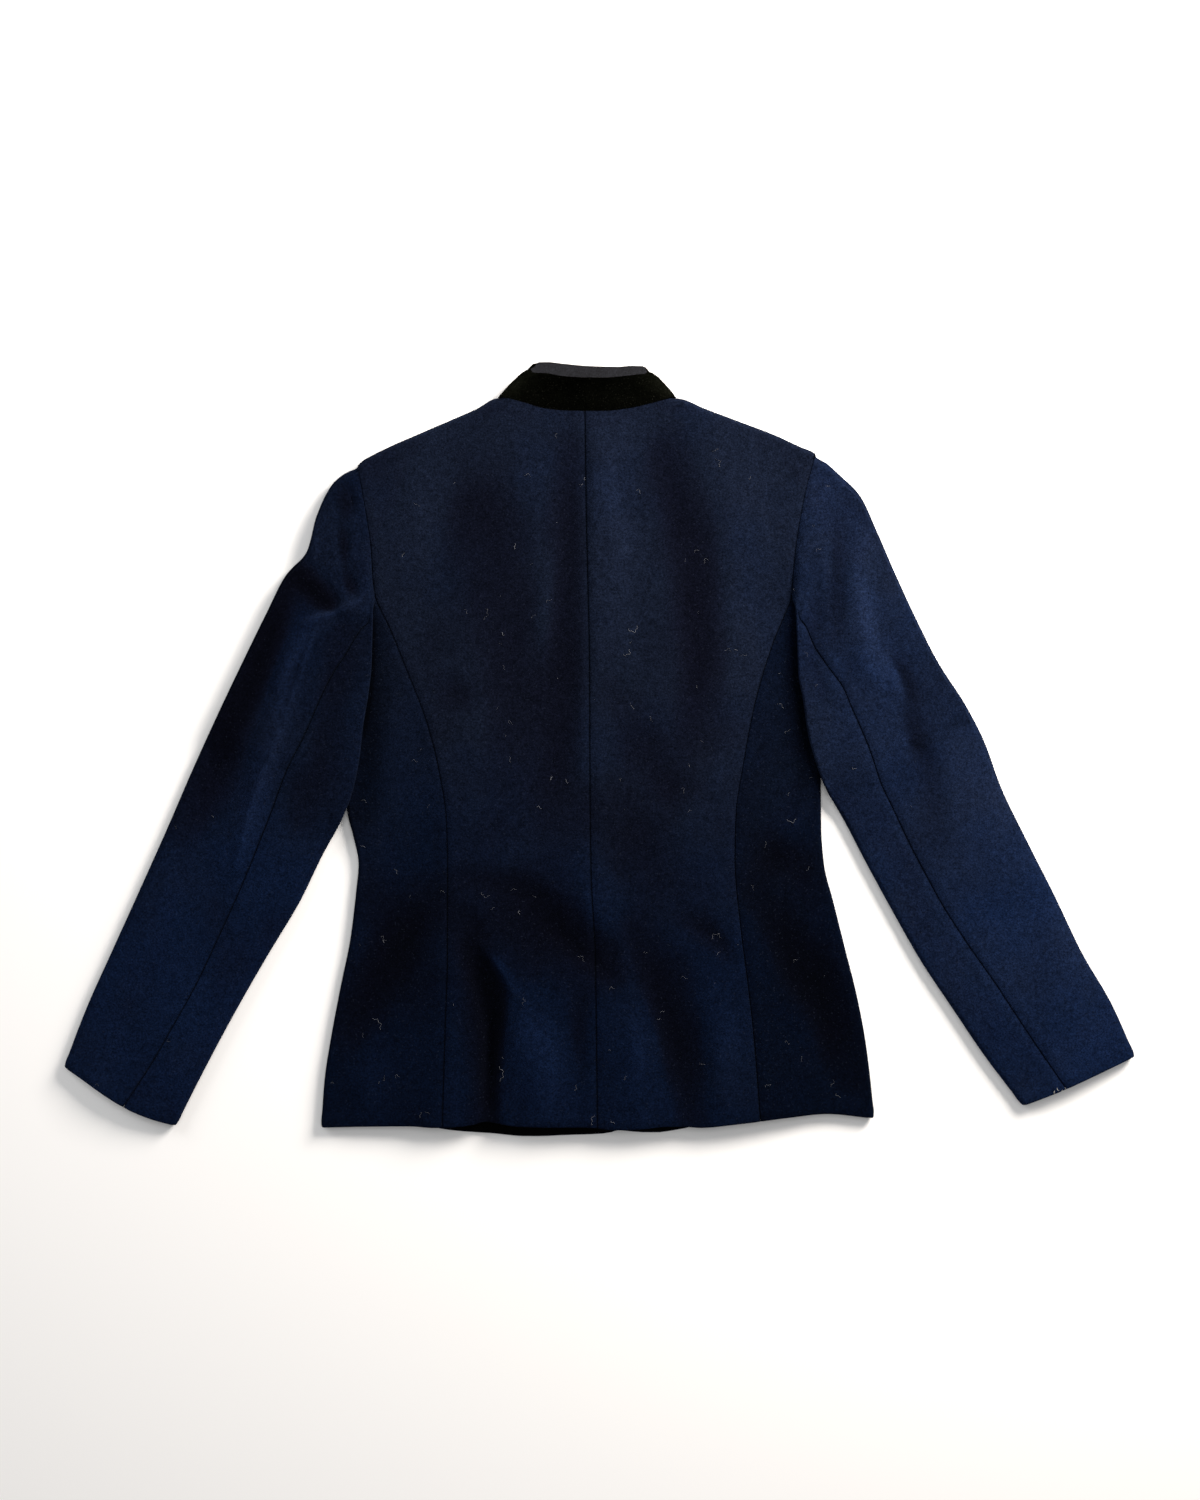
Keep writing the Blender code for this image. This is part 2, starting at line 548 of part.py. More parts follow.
def sleeve_row(sleeve, row, position):
    """One section of a sleeve as two runs of points: the upper sleeve's and the under sleeve's."""
    half = sleeve.body
    outer, inner, floor_point = np.array(row[0:2]), np.array(row[2:4]), np.array(row[4:6])
    seam, outer_height, crown = row[6:9]
    off_body = position - sleeve.first_clear_row
    low = SHELF * (1 - smoothstep(off_body + 1))
    top = blend(SHELF_TOP, CLEAR_FOLD_TOP, float(smoothstep((off_body + 1.5) / 1.5)))
    width = np.linalg.norm(inner - outer)
    toward = (inner - outer) / width
    armhole = position < 1e-6
    across = np.array([half.inward * CORNER_HALF, 0.0])
    if armhole:
        across *= ARMHOLE_CORNER_SHARE
    if off_body >= -1:
        floor_point = inner - toward * CLEAR_CORNER
        across = toward * CORNER_HALF
    outer_depth = min(outer_height / 2, SHOULDER_ROLL)
    inner_depth = (top - low) / 2
    half_gap = SEAM_GAP / 2
    elbow = seam * width
    last = width - inner_depth
    line = armhole_line(half) if armhole else None

    def plan(distance):
        """Where the top sheet is, this far from the outer fold."""
        if not armhole:
            return outer + toward * distance
        y = blend(outer[1], inner[1], distance / width)
        return np.array([float(x_at(half.back_seam, y)) - half.inward * ARMHOLE_OFFSET, y])

    def top_point(distance):
        """A point of the top sheet."""
        share = distance / width
        x, y = plan(distance)
        if armhole:
            lifted = float(smoothstep((share - ARMHOLE_LIFT_START) / ARMHOLE_LIFT_RUN))
            z = float(smooth(HEIGHTS["y"], HEIGHTS["edge"], y)) + ARMHOLE_LIFT * lifted
        else:
            dome = math.sin(math.pi * share) ** DOME_POWER
            near = float(smoothstep(min(distance, width - distance) / FOLD_FADE))
            folds = float(fold_height(x, y)) * near * min(1.0, position)
            z = blend(outer_height, top, share) + crown * dome + folds
        return x, y, max(z, low + LEAST_HEIGHT)

    def bottom_point(share):
        """A point of the under side on the floor: 0 at the floor point, 1 at the outer fold."""
        if armhole:
            return *along_line(line, share), 0.0
        x, y = blend(floor_point - across, outer + toward * outer_depth, share)
        return x, y, 0.0

    def fold_points(at, radius, middle, angles, side):
        """Points round one of the two folds, whose flat side starts at this distance."""
        for turn in np.radians(angles):
            x, y = plan(at + side * radius * math.cos(turn))
            yield x, y, middle[0] + middle[1] * math.sin(turn)

    forearm = half_gap / width
    stop = ARMHOLE_STOP if armhole else 1.0
    upper = [bottom_point(share) for share in np.linspace(0.5 + forearm, stop, UPPER_FLOOR_COLUMNS)]
    tip = outer_height / 2
    upper += fold_points(outer_depth, outer_depth, (tip, tip), OUTER_FOLD_ANGLES, -1)
    run = np.linspace(outer_depth, elbow - half_gap, UPPER_TOP_COLUMNS)
    upper += [top_point(distance) for distance in run]
    run = np.linspace(elbow + half_gap, last, UNDER_TOP_COLUMNS)
    under = [top_point(distance) for distance in run]
    fold_top = under[-1][2]
    middle = ((fold_top + low) / 2, (fold_top - low) / 2)
    under += fold_points(last, inner_depth, middle, INNER_FOLD_ANGLES, 1)
    shelf = (blend(plan(last), floor_point + across, share) for share in (0.0, 0.5, 1.0))
    under += [(x, y, low) for x, y in shelf]
    under += [bottom_point(share) for share in np.linspace(0.0, 0.5 - forearm, UPPER_FLOOR_COLUMNS)]
    return upper, under


def sleeve_grids(sleeve):
    """Outer points of the upper and the under sleeve."""
    table = np.array(sleeve.rows, float)
    keys = np.arange(len(table))
    uppers, unders = [], []
    for position in np.linspace(0, len(table) - 1, SLEEVE_ROWS):
        row = [float(smooth(keys, column, position)) for column in table.T]
        upper, under = sleeve_row(sleeve, row, position)
        uppers.append(upper)
        unders.append(under)
    return np.array(uppers), np.array(unders)


def make_sleeve(sleeve):
    """The upper and the under sleeve: one tube, parted at the elbow and at the forearm seam."""
    uppers, unders = sleeve_grids(sleeve)
    split = uppers.shape[1]
    tube = np.concatenate([uppers, unders], axis=1)
    wrapped = np.concatenate([tube[:, -2:-1], tube, tube[:, 1:2]], axis=1)
    normals = normals_of(wrapped)[:, 1:-1] * sleeve.body.inward
    # the tube turns back on itself at the underarm, so its first row takes the next one's normals
    under_side = slice(split + UNDER_TOP_COLUMNS, tube.shape[1])
    normals[0, under_side] = normals[1, under_side]
    normals[0, :UPPER_FLOOR_COLUMNS] = normals[1, :UPPER_FLOOR_COLUMNS]
    shared = normals[:, split - 1] + normals[:, split]
    shared /= np.linalg.norm(shared, axis=1, keepdims=True)
    normals[:, split - 1] = normals[:, split] = shared
    inner = tube - normals * WALL
    for part, first, last in (("upper", 0, split), ("under", split, tube.shape[1])):
        outer_part, inner_part = tube[:, first:last], inner[:, first:last]
        if sleeve.body.inward < 0:
            outer_part, inner_part = outer_part[:, ::-1], inner_part[:, ::-1]
        cloth(f"sleeve_{sleeve.name}_{part}", "wool", outer_part, inner_part)


def make_body(half):
    """The back, side and front panels of one half."""
    half_gap = SEAM_GAP / 2
    flip = half.inward < 0
    for name, seam, hem, is_back in (
        (f"back_{half.name}", half.back_seam, BACK_HEM, True),
        (f"front_{half.name}", half.front_seam, FRONT_HEM, False),
    ):
        sheet, rolled = upper_sheet(half, seam, hem, CENTRE_FRONT_X, is_back)
        sheet = trim_columns(sheet, half_gap, half_gap, half.inward)
        facing = half.inward if is_back else -half.inward
        outer, inner = wall_of(sheet, facing, WALL, level_edge=rolled)
        if flip == is_back:
            outer, inner = outer[:, ::-1], inner[:, ::-1]
        cloth(name, "wool", outer, inner)
    sheet = trim_columns(side_sheet(half), -half_gap, half_gap, half.inward)
    outer, inner = wall_of(sheet, -half.inward, WALL)
    if not flip:
        outer, inner = outer[:, ::-1], inner[:, ::-1]
    cloth(f"side_{half.name}", "wool", outer, inner)


def collar_row(level):
    """The collar's outer points at this share of its height, from the centre front and round."""
    (low_left, low_left_y), (low_right, low_right_y) = COLLAR_LOWER_ENDS
    (up_left, up_left_y), (up_right, up_right_y) = COLLAR_UPPER_ENDS
    depth = COLLAR_FOLD_DEPTH
    bulge = COLLAR_BULGE * math.sin(math.pi * level)
    left = blend(low_left, up_left, level) - bulge
    right = blend(low_right, up_right, level) + bulge
    edge_height = blend(NECK_HEIGHT, COLLAR_EDGE_HEIGHT, level)

    def flat_point(share, front):
        """A point of the flat part, this share of the way from the left fold to the right."""
        x = blend(left + depth, right - depth, share)
        low_x = blend(low_left + depth, low_right - depth, share)
        up_x = blend(up_left + depth, up_right - depth, share)
        up_line = COLLAR_FRONT_TOP if front else COLLAR_BACK_TOP
        y = blend(float(y_at(NECK, low_x)) + 2 * SEAM_GAP, float(y_at(up_line, up_x)), level)
        rise = COLLAR_RISE * level * math.sin(math.pi * share) ** COLLAR_RISE_POWER
        return x, y, 0.0 if front else edge_height + rise

    def fold_points(x, y, inward, angles):
        """Points round the fold at one end."""
        radius, y = edge_height / 2, y + 2 * SEAM_GAP * (1 - level)
        return [
            (x + inward * depth * (1 - math.cos(turn)), y, radius * (1 + math.sin(turn)))
            for turn in np.radians(angles)
        ]

    slit = (CENTRE_FRONT_X - left - depth) / (right - left - 2 * depth)
    half_gap = SEAM_GAP / 2 / (right - left)
    left_front = np.linspace(slit - half_gap, 0, COLLAR_FRONT_COLUMNS)
    right_front = np.linspace(1, slit + half_gap, COLLAR_FRONT_COLUMNS)
    return (
        [flat_point(share, True) for share in left_front]
        + fold_points(left, blend(low_left_y, up_left_y, level), 1, COLLAR_ANGLES)
        + [flat_point(share, False) for share in np.linspace(0, 1, COLLAR_BACK_COLUMNS)]
        + fold_points(right, blend(low_right_y, up_right_y, level), -1, COLLAR_ANGLES[::-1])
        + [flat_point(share, True) for share in right_front]
    )


def make_collar():
    """The velvet stand, and the smooth facing inside it."""
    grid = np.array([collar_row(level) for level in np.linspace(0, 1, COLLAR_ROWS)])
    for name, finish, set_in, wall in (
        ("collar_stand", "velvet", 0.0, VELVET_WALL),
        ("collar_facing", "collar_facing", VELVET_WALL + 2 * SEAM_GAP, FACING_WALL),
    ):
        outer, inner = wall_of(grid, -1, wall, set_in)
        # the neck edge is offset straight in, so that it stays clear of the shoulders
        outer[0, :, 1] = grid[0, :, 1]
        inner[0, :, 1] = grid[0, :, 1]
        cloth(name, finish, outer[::-1], inner[::-1])


def make_hem_facing(name, start_x, end_x):
    """The dark facing that lies on a front's inner side and shows below the back's hem."""
    xs = np.linspace(start_x, end_x, STRIP_COLUMNS)
    hem_y = y_at(FRONT_HEM, xs) + STRIP_SET_BACK
    z = np.full(STRIP_COLUMNS, WALL + SEAM_GAP)
    lower = np.array([
        np.stack([xs, hem_y + up, z], axis=1) for up in (STRIP_DEPTH, STRIP_DEPTH / 2, 0)
    ])
    cloth(name, "dark_facing", lower + np.array([0, 0, STRIP_WALL]), lower)


def centre_on_origin():
    """Moves every mesh so that the jacket's box is centred on the origin and stands on z = 0."""
    corners = np.array([v.co[:] for piece in bpy.data.objects for v in piece.data.vertices])
    low, high = corners.min(axis=0), corners.max(axis=0)
    shift = np.array([-(low[0] + high[0]) / 2, -(low[1] + high[1]) / 2, -low[2]])
    for piece in bpy.data.objects:
        for vertex in piece.data.vertices:
            vertex.co = [c + s for c, s in zip(vertex.co, shift)]


def main():
    """Builds every piece."""
    for old in list(bpy.data.objects):
        bpy.data.objects.remove(old)
    for half in (LEFT, RIGHT):
        make_body(half)
    for sleeve in SLEEVES:
        make_sleeve(sleeve)
    make_collar()
    half_gap = SEAM_GAP / 2
    make_hem_facing("hem_facing_left", STRIP_ENDS[0], CENTRE_FRONT_X - half_gap)
    make_hem_facing("hem_facing_right", CENTRE_FRONT_X + half_gap, STRIP_ENDS[1])
    centre_on_origin()


if __name__ == "__main__":
    main()
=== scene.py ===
"""The looks of a fitted wool jacket with a velvet stand collar, lying face down on a pale floor.

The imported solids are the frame. Each cut piece of cloth is built again here from the same named
lines, on a finer grid, with its creases, sewn seams, rolled edges and turned hems, and stands in
for its solid. Tables are in millimetres and meshes in metres, both in the solids' frame: +Y
toward the collar, +Z up, the fronts on z = 0. "left" and "right" are as seen from above.
"""

import logging
import math
from dataclasses import dataclass
from enum import Enum

import bpy
import numpy as np
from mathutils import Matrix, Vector
from mathutils.bvhtree import BVHTree


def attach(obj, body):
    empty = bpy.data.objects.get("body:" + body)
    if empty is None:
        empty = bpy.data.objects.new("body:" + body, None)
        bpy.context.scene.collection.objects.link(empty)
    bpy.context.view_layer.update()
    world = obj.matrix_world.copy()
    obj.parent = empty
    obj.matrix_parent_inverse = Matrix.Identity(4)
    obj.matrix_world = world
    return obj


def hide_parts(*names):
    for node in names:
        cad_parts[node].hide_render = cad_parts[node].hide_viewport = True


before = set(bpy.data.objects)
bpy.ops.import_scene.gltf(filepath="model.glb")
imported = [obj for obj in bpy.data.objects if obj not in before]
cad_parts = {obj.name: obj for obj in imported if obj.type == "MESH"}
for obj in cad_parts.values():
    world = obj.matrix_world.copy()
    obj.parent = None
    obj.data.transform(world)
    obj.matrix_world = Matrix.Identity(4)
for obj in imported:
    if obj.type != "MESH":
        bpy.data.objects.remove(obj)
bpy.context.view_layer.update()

log = logging.getLogger("jacket")
logging.basicConfig(level=logging.INFO, format="%(name)s: %(message)s")

MM = 0.001
SHARP_ANGLE = math.radians(60)
Grid = np.ndarray  # rows x columns x 3, in millimetres
Line = tuple[tuple[float, float], ...]
Span = tuple[float, float]
Colour = tuple[float, float, float]
Part = bpy.types.Object
Socket = bpy.types.NodeSocket

# -------------------- sizes shared with the solids
WALL = 2.0  # shell cloth and lining
SEAM_GAP = 0.3  # between two pieces sewn together
HALF_GAP = SEAM_GAP / 2
CRACK = 0.08  # what is left of it where a seam is pressed tight
VELVET_WALL = 1.6
FACING_WALL = 1.2
STRIP_WALL = 1.0
CENTRE_FRONT_X = 16.5
SHOULDER_ROLL = 6.0  # how deep the rounded fold is along the shoulder line
NECK_CORNER = 7.0  # over this width the shoulder's fold turns into the open neck edge
NECK_HEIGHT = 17.0
COLLAR_HEIGHT = 30.0
STRIP_DEPTH = 40.0
STRIP_SET_BACK = 0.8
SIDE_FOLD_TURN = 78  # degrees to each side of level
FOLD_STEPS = 11
NECK_SHARE = 7 / 12  # of a back's columns, from the shoulder tip to the neck corner

HEIGHT_Y = (-335, -250, -180, -100, -60, 60, 132, 178, 206, 261, 310)
EDGE_HEIGHT = (8.5, 8.2, 8.0, 8.0, 8.0, 8.0, 8.4, 11.5, 13.5, 15.5, 16.5)
CROWN_HEIGHT = (13.5, 14.0, 14.5, 15.0, 16.0, 18.0, 18.5, 18.5, 18.5, 18.0, 17.0)
RISE_START = 20.0
RISE_WIDTH = 95.0

CENTRE_BACK: Line = (
    (-13, 297), (-12, 213), (-11, 166), (-9, 71), (-8.5, -44), (-7.5, -111), (-4, -179),
    (-3, -247), (-2, -333),
)
BACK_HEM: Line = (
    (-246, -333.5), (-203, -332.5), (-166, -332), (-148, -333), (-124, -332), (-112, -330.5),
    (-101, -328), (-88, -329.5), (-71, -332), (-35, -332.5), (-14, -332.5), (14, -335), (37, -334),
    (59, -332), (73, -332), (89, -333), (116, -330.5), (168, -324.5), (204, -321.5), (243, -325),
)
FRONT_HEM: Line = (
    (-246, -332), (-156, -332), (-140, -335.5), (-123.5, -337.5), (-94, -339.5), (-66, -342),
    (-52, -342), (-35, -341.2), (-1, -340), (8, -339.2), (16.5, -337), (30, -338), (39, -338.6),
    (53.5, -338.6), (65, -336.8), (74, -335.4), (86, -332.4), (116, -330), (168, -324.2),
    (204, -321), (243, -324),
)
NECK: Line = (
    (-89.5, 309.5), (-68, 305), (-49.5, 299.5), (-31, 297.5), (-13, 297), (5, 297), (24, 299),
    (42.5, 303), (59, 307.5), (67.5, 309.5),
)

# -------------------- sizes of the looks
EDGE_STEPS = (0.0, 0.35, 0.8, 1.4, 2.2, 3.4, 5.0)  # rows and columns crowd in beside a seam
BODY_SPACING = 2.3  # between rows and columns elsewhere
HIDDEN_SPACING = 3 * BODY_SPACING
SLEEVE_SPACING = 2.0
SEAM_ROLL = 1.3  # radius of the cloth's rounded edge where it turns into a seam
SEAM_DROP = 0.8  # how far that edge dips
SEAM_PUFF = 0.35  # the pressed seam's allowance lifts the cloth beside it
SEAM_PUFF_AT = 7.0
SEAM_PUFF_WIDTH = 4.0
DIP_SHARE = 0.45  # of the drop, spread over the dip's width beside the edge
DIP_WIDTH = 2.6
SLEEVE_SETTLE = 0.5  # in table rows: over this the sleeve comes down to the armhole seam
FOLD_GAIN = 1.9  # soft cloth folds deeper than the solids' stiff walls
RIDGE_PAINTED_LIGHT = 0.18  # painted light: the cloth is this much paler per millimetre of a ridge's height
TROUGH_PAINTED_SHADE = 0.27  # painted shade: and this much darker in its troughs
PALEST = 1.7  # a ridge's painted light never passes this
PAINTED_FOLD_SHADE_START, PAINTED_FOLD_SHADE_SPAN = 0.95, 0.6  # troughs take the painted shade colour where their painted shade falls below the start, fully a span below it
SEAM_SHADE = 0.22  # painted shade in a seam's groove: what is left of the colour right at a seam
# the same painted seam shade, lighter, on the sleeves' seams
SLEEVE_SEAM_SHADE = 0.4
SEAM_SHADE_WIDTH = 0.75
SEAM_FADE = 8.0  # over this a seam that goes under a neighbour stops showing
SHADE_GAIN = 0.2  # what a painted shade's height, in millimetres, does to the painted light and shade
LEAST_SHADE = 0.12
TUCK = 2.2  # how far a sleeve's allowance reaches under the armhole's edge
LEAST_TUCK = 0.05  # on the sleeve's under side, which has nothing to go under
RIPPLE_WAVES = 14  # added up in each ripple
RIPPLE_STRETCH = 0.6  # below 1 the ripples are longer down the cloth than across it
CREASE_REACH = 3.2  # times its width, past which a crease adds nothing
CREASE_ENDS = 0.12  # a crease's two ends lie this share inside the half wave of its depth
ON_TABLE = 0.05  # cloth lower than this lies flat on the table
PAINTED_LIGHT_LOW, PAINTED_LIGHT_HIGH = -240.0, 70.0  # where the painted light and shade change from how they are low down to how they are high up
LINT_SEED = 11
STRAYS_ON_BODY = 0.72  # this share falls on the body, and the rest anywhere
BODY_RANGE = ((-225, 215), (-325, 290))
WHOLE_RANGE = ((-460, 460), (-310, 230))
FIBRE_GAIN = 1.05  # how much longer a curled fibre is than it looks
WAVE_UNIT = 0.31416  # this scale of the wave texture gives one thread a metre


class Layer(Enum):
    """Which face of the body a panel belongs to."""

    BACK = 1
    FRONT = -1


class Slot(Enum):
    """The record's material slots."""

    WOOL = "navy_wool"
    VELVET = "black_velvet"
    COLLAR_LINING = "collar_lining"
    DARK_LINING = "dark_lining"


@dataclass(frozen=True)
class Crease:
    """A soft trough (height below 0) or ridge along a bend from start to end.

    skew from -1 to 1 makes the slope on the left of its run wider, and the other steeper.
    """

    start: tuple[float, float]
    bend: tuple[float, float]
    end: tuple[float, float]
    width: float
    height: float
    skew: float = 0.0


def creases(*rows: tuple[float, ...]) -> tuple[Crease, ...]:
    """A crease for each row: x and y of its start, bend and end, width, height, and skew if any."""
    return tuple(Crease(row[0:2], row[2:4], row[4:6], *row[6:]) for row in rows)


# the folds that the solids have too
MAIN_FOLDS = creases(
    (54, 262, 97, 142, 80, 5, 20, -2.6, 0.2),
    (-28, 262, -25, 132, -40, -36, 15, -1.8),
    (-134, 198, -96, 218, -61, 192, 26, -1.0),
    (-152, -135, -190, -185, -214, -247, 20, -2.4),
    (-116, -150, -86, -214, -96, -322, 15, -3.2, -0.3),
    (-75, -122, -21, -162, 13, -196, 16, -1.8),
    (30, -160, 66, -229, 77, -318, 18, -2.6, 0.3),
    (137, -130, 190, -206, 214, -286, 19, -2.6, 0.3),
    (-62, -225, -60, -273, -54, -322, 15, 2.0),
    (100, -220, 108, -273, 112, -320, 18, 1.8),
    (-278, 166, -252, 136, -231, 121, 10, -4.6),
    (-210, 128, -261, 113, -281, 62, 8, 2.5),
    (-275, 50, -297, -27, -322, -104, 10, 2.0),
    (-282, 142, -300, 87, -330, 8, 11, -2.4),
    (232, 189, 222, 96, 256, 54, 12, 2.0),
    (262, 79, 274, 26, 306, -88, 11, -1.0),
    (214, 196, 207, 140, 206, 92, 9, -1.4),
)
# smaller creases, seen only here
SMALL_CREASES = creases(
    (50, -22, 58, -34, 66, -55, 11, -0.8),
    (-47, 161, -50, 120, -47, 84, 9, 0.8),
    (2, 272, 12, 210, 19, 143, 12, 0.7),
    (-134, 60, -128, 46, -117, 36, 12, -0.8),
    (-117, -176, -96, -222, -96, -282, 8, -2.2),
    (-98, -238, -98, -285, -95, -340, 7, -2.0),
    (-106, -168, -90, -190, -76, -216, 5, 1.5),
    (-84, -222, -88, -270, -84, -338, 5, 1.0),
    (-122, -118, -76, -108, -28, -142, 11, -1.0),
    (-48, -150, -20, -180, 12, -206, 8, -1.2),
    (-14, -212, -20, -250, -18, -282, 9, -1.2),
    (73, -146, 98, -160, 117, -190, 9, -1.3),
    (-44, -238, -46, -262, -44, -290, 8, 0.8),
    (30, -232, 28, -262, 29, -300, 8, 0.9),
    (-200, -262, -206, -290, -206, -326, 10, 1.0),
    (-203, 138, -232, 116.5, -262, 107, 3.4, 2.2),
    (-248, 108, -262, 68, -277, 24, 2.6, 1.3),
    (-275, 32, -296, -15, -322, -104, 3.0, 1.1),
    (-266, 110, -278, 62, -298, 5, 8, 0.7),
    (-273, 150, -288, 100, -314, 30, 8, -2.6),
    (-316, 30, -330, -20, -352, -60, 12, -1.0),
    (-270, 156, -250, 133, -232, 122.5, 4.5, -2.4),
    (-228, 228, -224, 216, -226, 202, 7, -1.5),
    (-229, 195, -225, 180, -222, 164, 6, -1.7),
    (-221, 156, -216, 146, -212, 140, 5, -1.7),
    (-251, 200, -252, 182, -255, 166, 3, 1.3),
    (187, -33, 179, -55, 169, -76, 5, 1.1, 0.3),
    (257, 80, 270, 62, 274, 40, 5, -1.7),
    (274, 26, 277, 12, 284, -8, 6, -1.4),
    (252, 82, 261, 66, 263, 42, 4, 1.0),
    (160, -84, 150, -96, 144, -110, 12, -1.0),
)
# wide shallow swells of the whole cloth, seen only here
SWELLS = creases(
    (-112, 205, -75, 110, -62, -60, 34, -2.6),
    (3, 63, 43, -10, 103, -66, 18, -1.8),
    (-112, -138, -66, -140, -30, -190, 33, -3.7),
    (-205, -112, -190, -150, -165, -200, 22, -1.8),
    (146, -78, 165, -95, 188, -120, 20, -3.0),
    (-30, -40, 20, -80, 70, -120, 32, -1.8),
    (-2, 275, 14, 200, 10, 90, 20, 1.8),
    (-72, -250, -52, -285, -40, -330, 20, 2.4),
    (18, -226, 30, -280, 30, -330, 20, 2.0),
    (110, 272, 135, 200, 140, 120, 30, 1.6),
    (-186, 250, -160, 220, -150, 150, 28, 1.4),
    (-222, 100, -236, 30, -262, -60, 17, -2.0),
    (-306, 90, -340, 0, -375, -75, 22, -3.4),
    (188, 180, 184, 100, 192, 40, 10, -1.6),
    (262, 190, 285, 120, 312, 60, 18, 0.4),
    (330, -10, 370, -90, 420, -190, 24, 1.4),
    (-350, -60, -400, -150, -440, -250, 24, 0.8),
)


# -------------------- shared maths
def blend(a, b, share):
    """The value this share of the way from a to b."""
    return a + (b - a) * share


def smoothstep(share) -> np.ndarray:
    """0 to 1 with level ends, held outside them."""
    share = np.clip(share, 0.0, 1.0)
    return share * share * (3.0 - 2.0 * share)


def smooth(keys, values, where) -> np.ndarray:
    """A cubic through (keys, values) that adds no overshoot.

    Args:
        keys: rising numbers.
        values: one for each key.
        where: the numbers to look up, held to the ends.

    Returns:
        The values there.
    """
    keys, values = np.asarray(keys, float), np.asarray(values, float)
    steps = np.diff(keys)
    slopes = np.diff(values) / steps
    tangents = np.zeros(len(keys))
    same_way = slopes[1:] * slopes[:-1] > 0
    inner = np.zeros(len(keys) - 2)
    inner[same_way] = 2.0 / (1.0 / slopes[1:][same_way] + 1.0 / slopes[:-1][same_way])
    tangents[1:-1] = inner
    tangents[0], tangents[-1] = slopes[0], slopes[-1]
    where = np.clip(where, keys[0], keys[-1])
    i = np.clip(np.searchsorted(keys, where, side="right") - 1, 0, len(keys) - 2)
    t = (where - keys[i]) / steps[i]
    return (
        (2 * t**3 - 3 * t**2 + 1) * values[i]
        + (t**3 - 2 * t**2 + t) * steps[i] * tangents[i]
        + (3 * t**2 - 2 * t**3) * values[i + 1]
        + (t**3 - t**2) * steps[i] * tangents[i + 1]
    )


def x_at(line: Line, y) -> np.ndarray:
    """x on a line of points, looked up by y."""
    points = sorted(line, key=lambda p: p[1])
    return smooth([p[1] for p in points], [p[0] for p in points], y)


def y_at(line: Line, x) -> np.ndarray:
    """y on a line of points, looked up by x."""
    points = sorted(line)
    return smooth([p[0] for p in points], [p[1] for p in points], x)


def crowded(length: float, spacing: float, start: bool = True, end: bool = True) -> np.ndarray:
    """Shares of a length, crowded at the ends that are asked for.

    Args:
        length: in millimetres.
        spacing: between points away from the ends.
        start: crowd in at the start.
        end: crowd in at the end.

    Returns:
        Rising shares from 0 to 1.
    """
    near = np.array(EDGE_STEPS)
    low, high = (near[-1] if start else 0.0), length - (near[-1] if end else 0.0)
    middle = np.linspace(low, high, max(2, round((high - low) / spacing)) + 1)
    parts = [near[:-1]] if start else []
    parts.append(middle)
    if end:
        parts.append(length - near[-2::-1])
    return np.concatenate(parts) / length


def row_of(x, y, z) -> np.ndarray:
    """Points from their coordinates, each one number or one for every point."""
    return np.stack(np.broadcast_arrays(x, y, z), axis=1)


def crease_relief(x: np.ndarray, y: np.ndarray, creases: tuple[Crease, ...]) -> np.ndarray:
    """What the creases add to a surface seen from above.

    Args:
        x: places, in millimetres.
        y: the same.
        creases: the folds to add up.

    Returns:
        Heights in millimetres, in x's shape.
    """
    shape = np.broadcast(x, y).shape
    px, py = np.broadcast_to(x, shape).ravel(), np.broadcast_to(y, shape).ravel()
    total = np.zeros(px.size)
    t = np.linspace(0, 1, 13)
    for crease in creases:
        (x0, y0), (x1, y1), (x2, y2) = crease.start, crease.bend, crease.end
        cx = (1 - t) ** 2 * x0 + 2 * t * (1 - t) * x1 + t * t * x2
        cy = (1 - t) ** 2 * y0 + 2 * t * (1 - t) * y1 + t * t * y2
        reach = CREASE_REACH * crease.width * (1 + abs(crease.skew))
        near = np.flatnonzero(
            (px > cx.min() - reach) & (px < cx.max() + reach)
            & (py > cy.min() - reach) & (py < cy.max() + reach)
        )
        if not near.size:
            continue
        step_x, step_y = np.diff(cx), np.diff(cy)
        squared = step_x**2 + step_y**2
        dx, dy = px[near, None] - cx[:-1], py[near, None] - cy[:-1]
        along = np.clip((dx * step_x + dy * step_y) / squared, 0, 1)
        dx, dy = dx - along * step_x, dy - along * step_y
        best = np.argmin(dx * dx + dy * dy, axis=1)
        rows = np.arange(near.size)
        dx, dy, where = dx[rows, best], dy[rows, best], (best + along[rows, best]) / len(step_x)
        side = (step_x[best] * dy - step_y[best] * dx) / (crease.width * np.sqrt(squared[best]))
        width = crease.width * (1 + crease.skew * np.clip(side, -1, 1))
        strength = np.sin(math.pi * (CREASE_ENDS + (1 - 2 * CREASE_ENDS) * where))
        total[near] += crease.height * strength * np.exp(-(dx * dx + dy * dy) / width**2)
    return total.reshape(shape)


@dataclass(frozen=True)
class Ripple:
    """Small uneven swells, as in wool cloth that was worn and laid down."""

    size: float
    height: float
    seed: int

    def at(self, x: np.ndarray, y: np.ndarray) -> np.ndarray:
        """What they add to a surface at these places."""
        draw = np.random.default_rng(self.seed)
        total = np.zeros(np.broadcast(x, y).shape)
        for _ in range(RIPPLE_WAVES):
            turn, phase = draw.uniform(0, math.pi), draw.uniform(0, 2 * math.pi)
            pitch = self.size * draw.uniform(0.6, 1.8)
            along = x * math.cos(turn) + RIPPLE_STRETCH * y * math.sin(turn)
            total += np.sin(along * 2 * math.pi / pitch + phase)
        return self.height * (total / 4)


WANDER = (Ripple(64, 2.2, 6), Ripple(72, 2.2, 7))  # bends the creases off their smooth lines
CLOTH_RIPPLE, CLOTH_DIMPLE = Ripple(62, 0.45, 3), Ripple(21, 0.12, 4)
COLLAR_DENT, STRIP_RIPPLE = Ripple(26, 0.35, 5), Ripple(30, 0.25, 6)


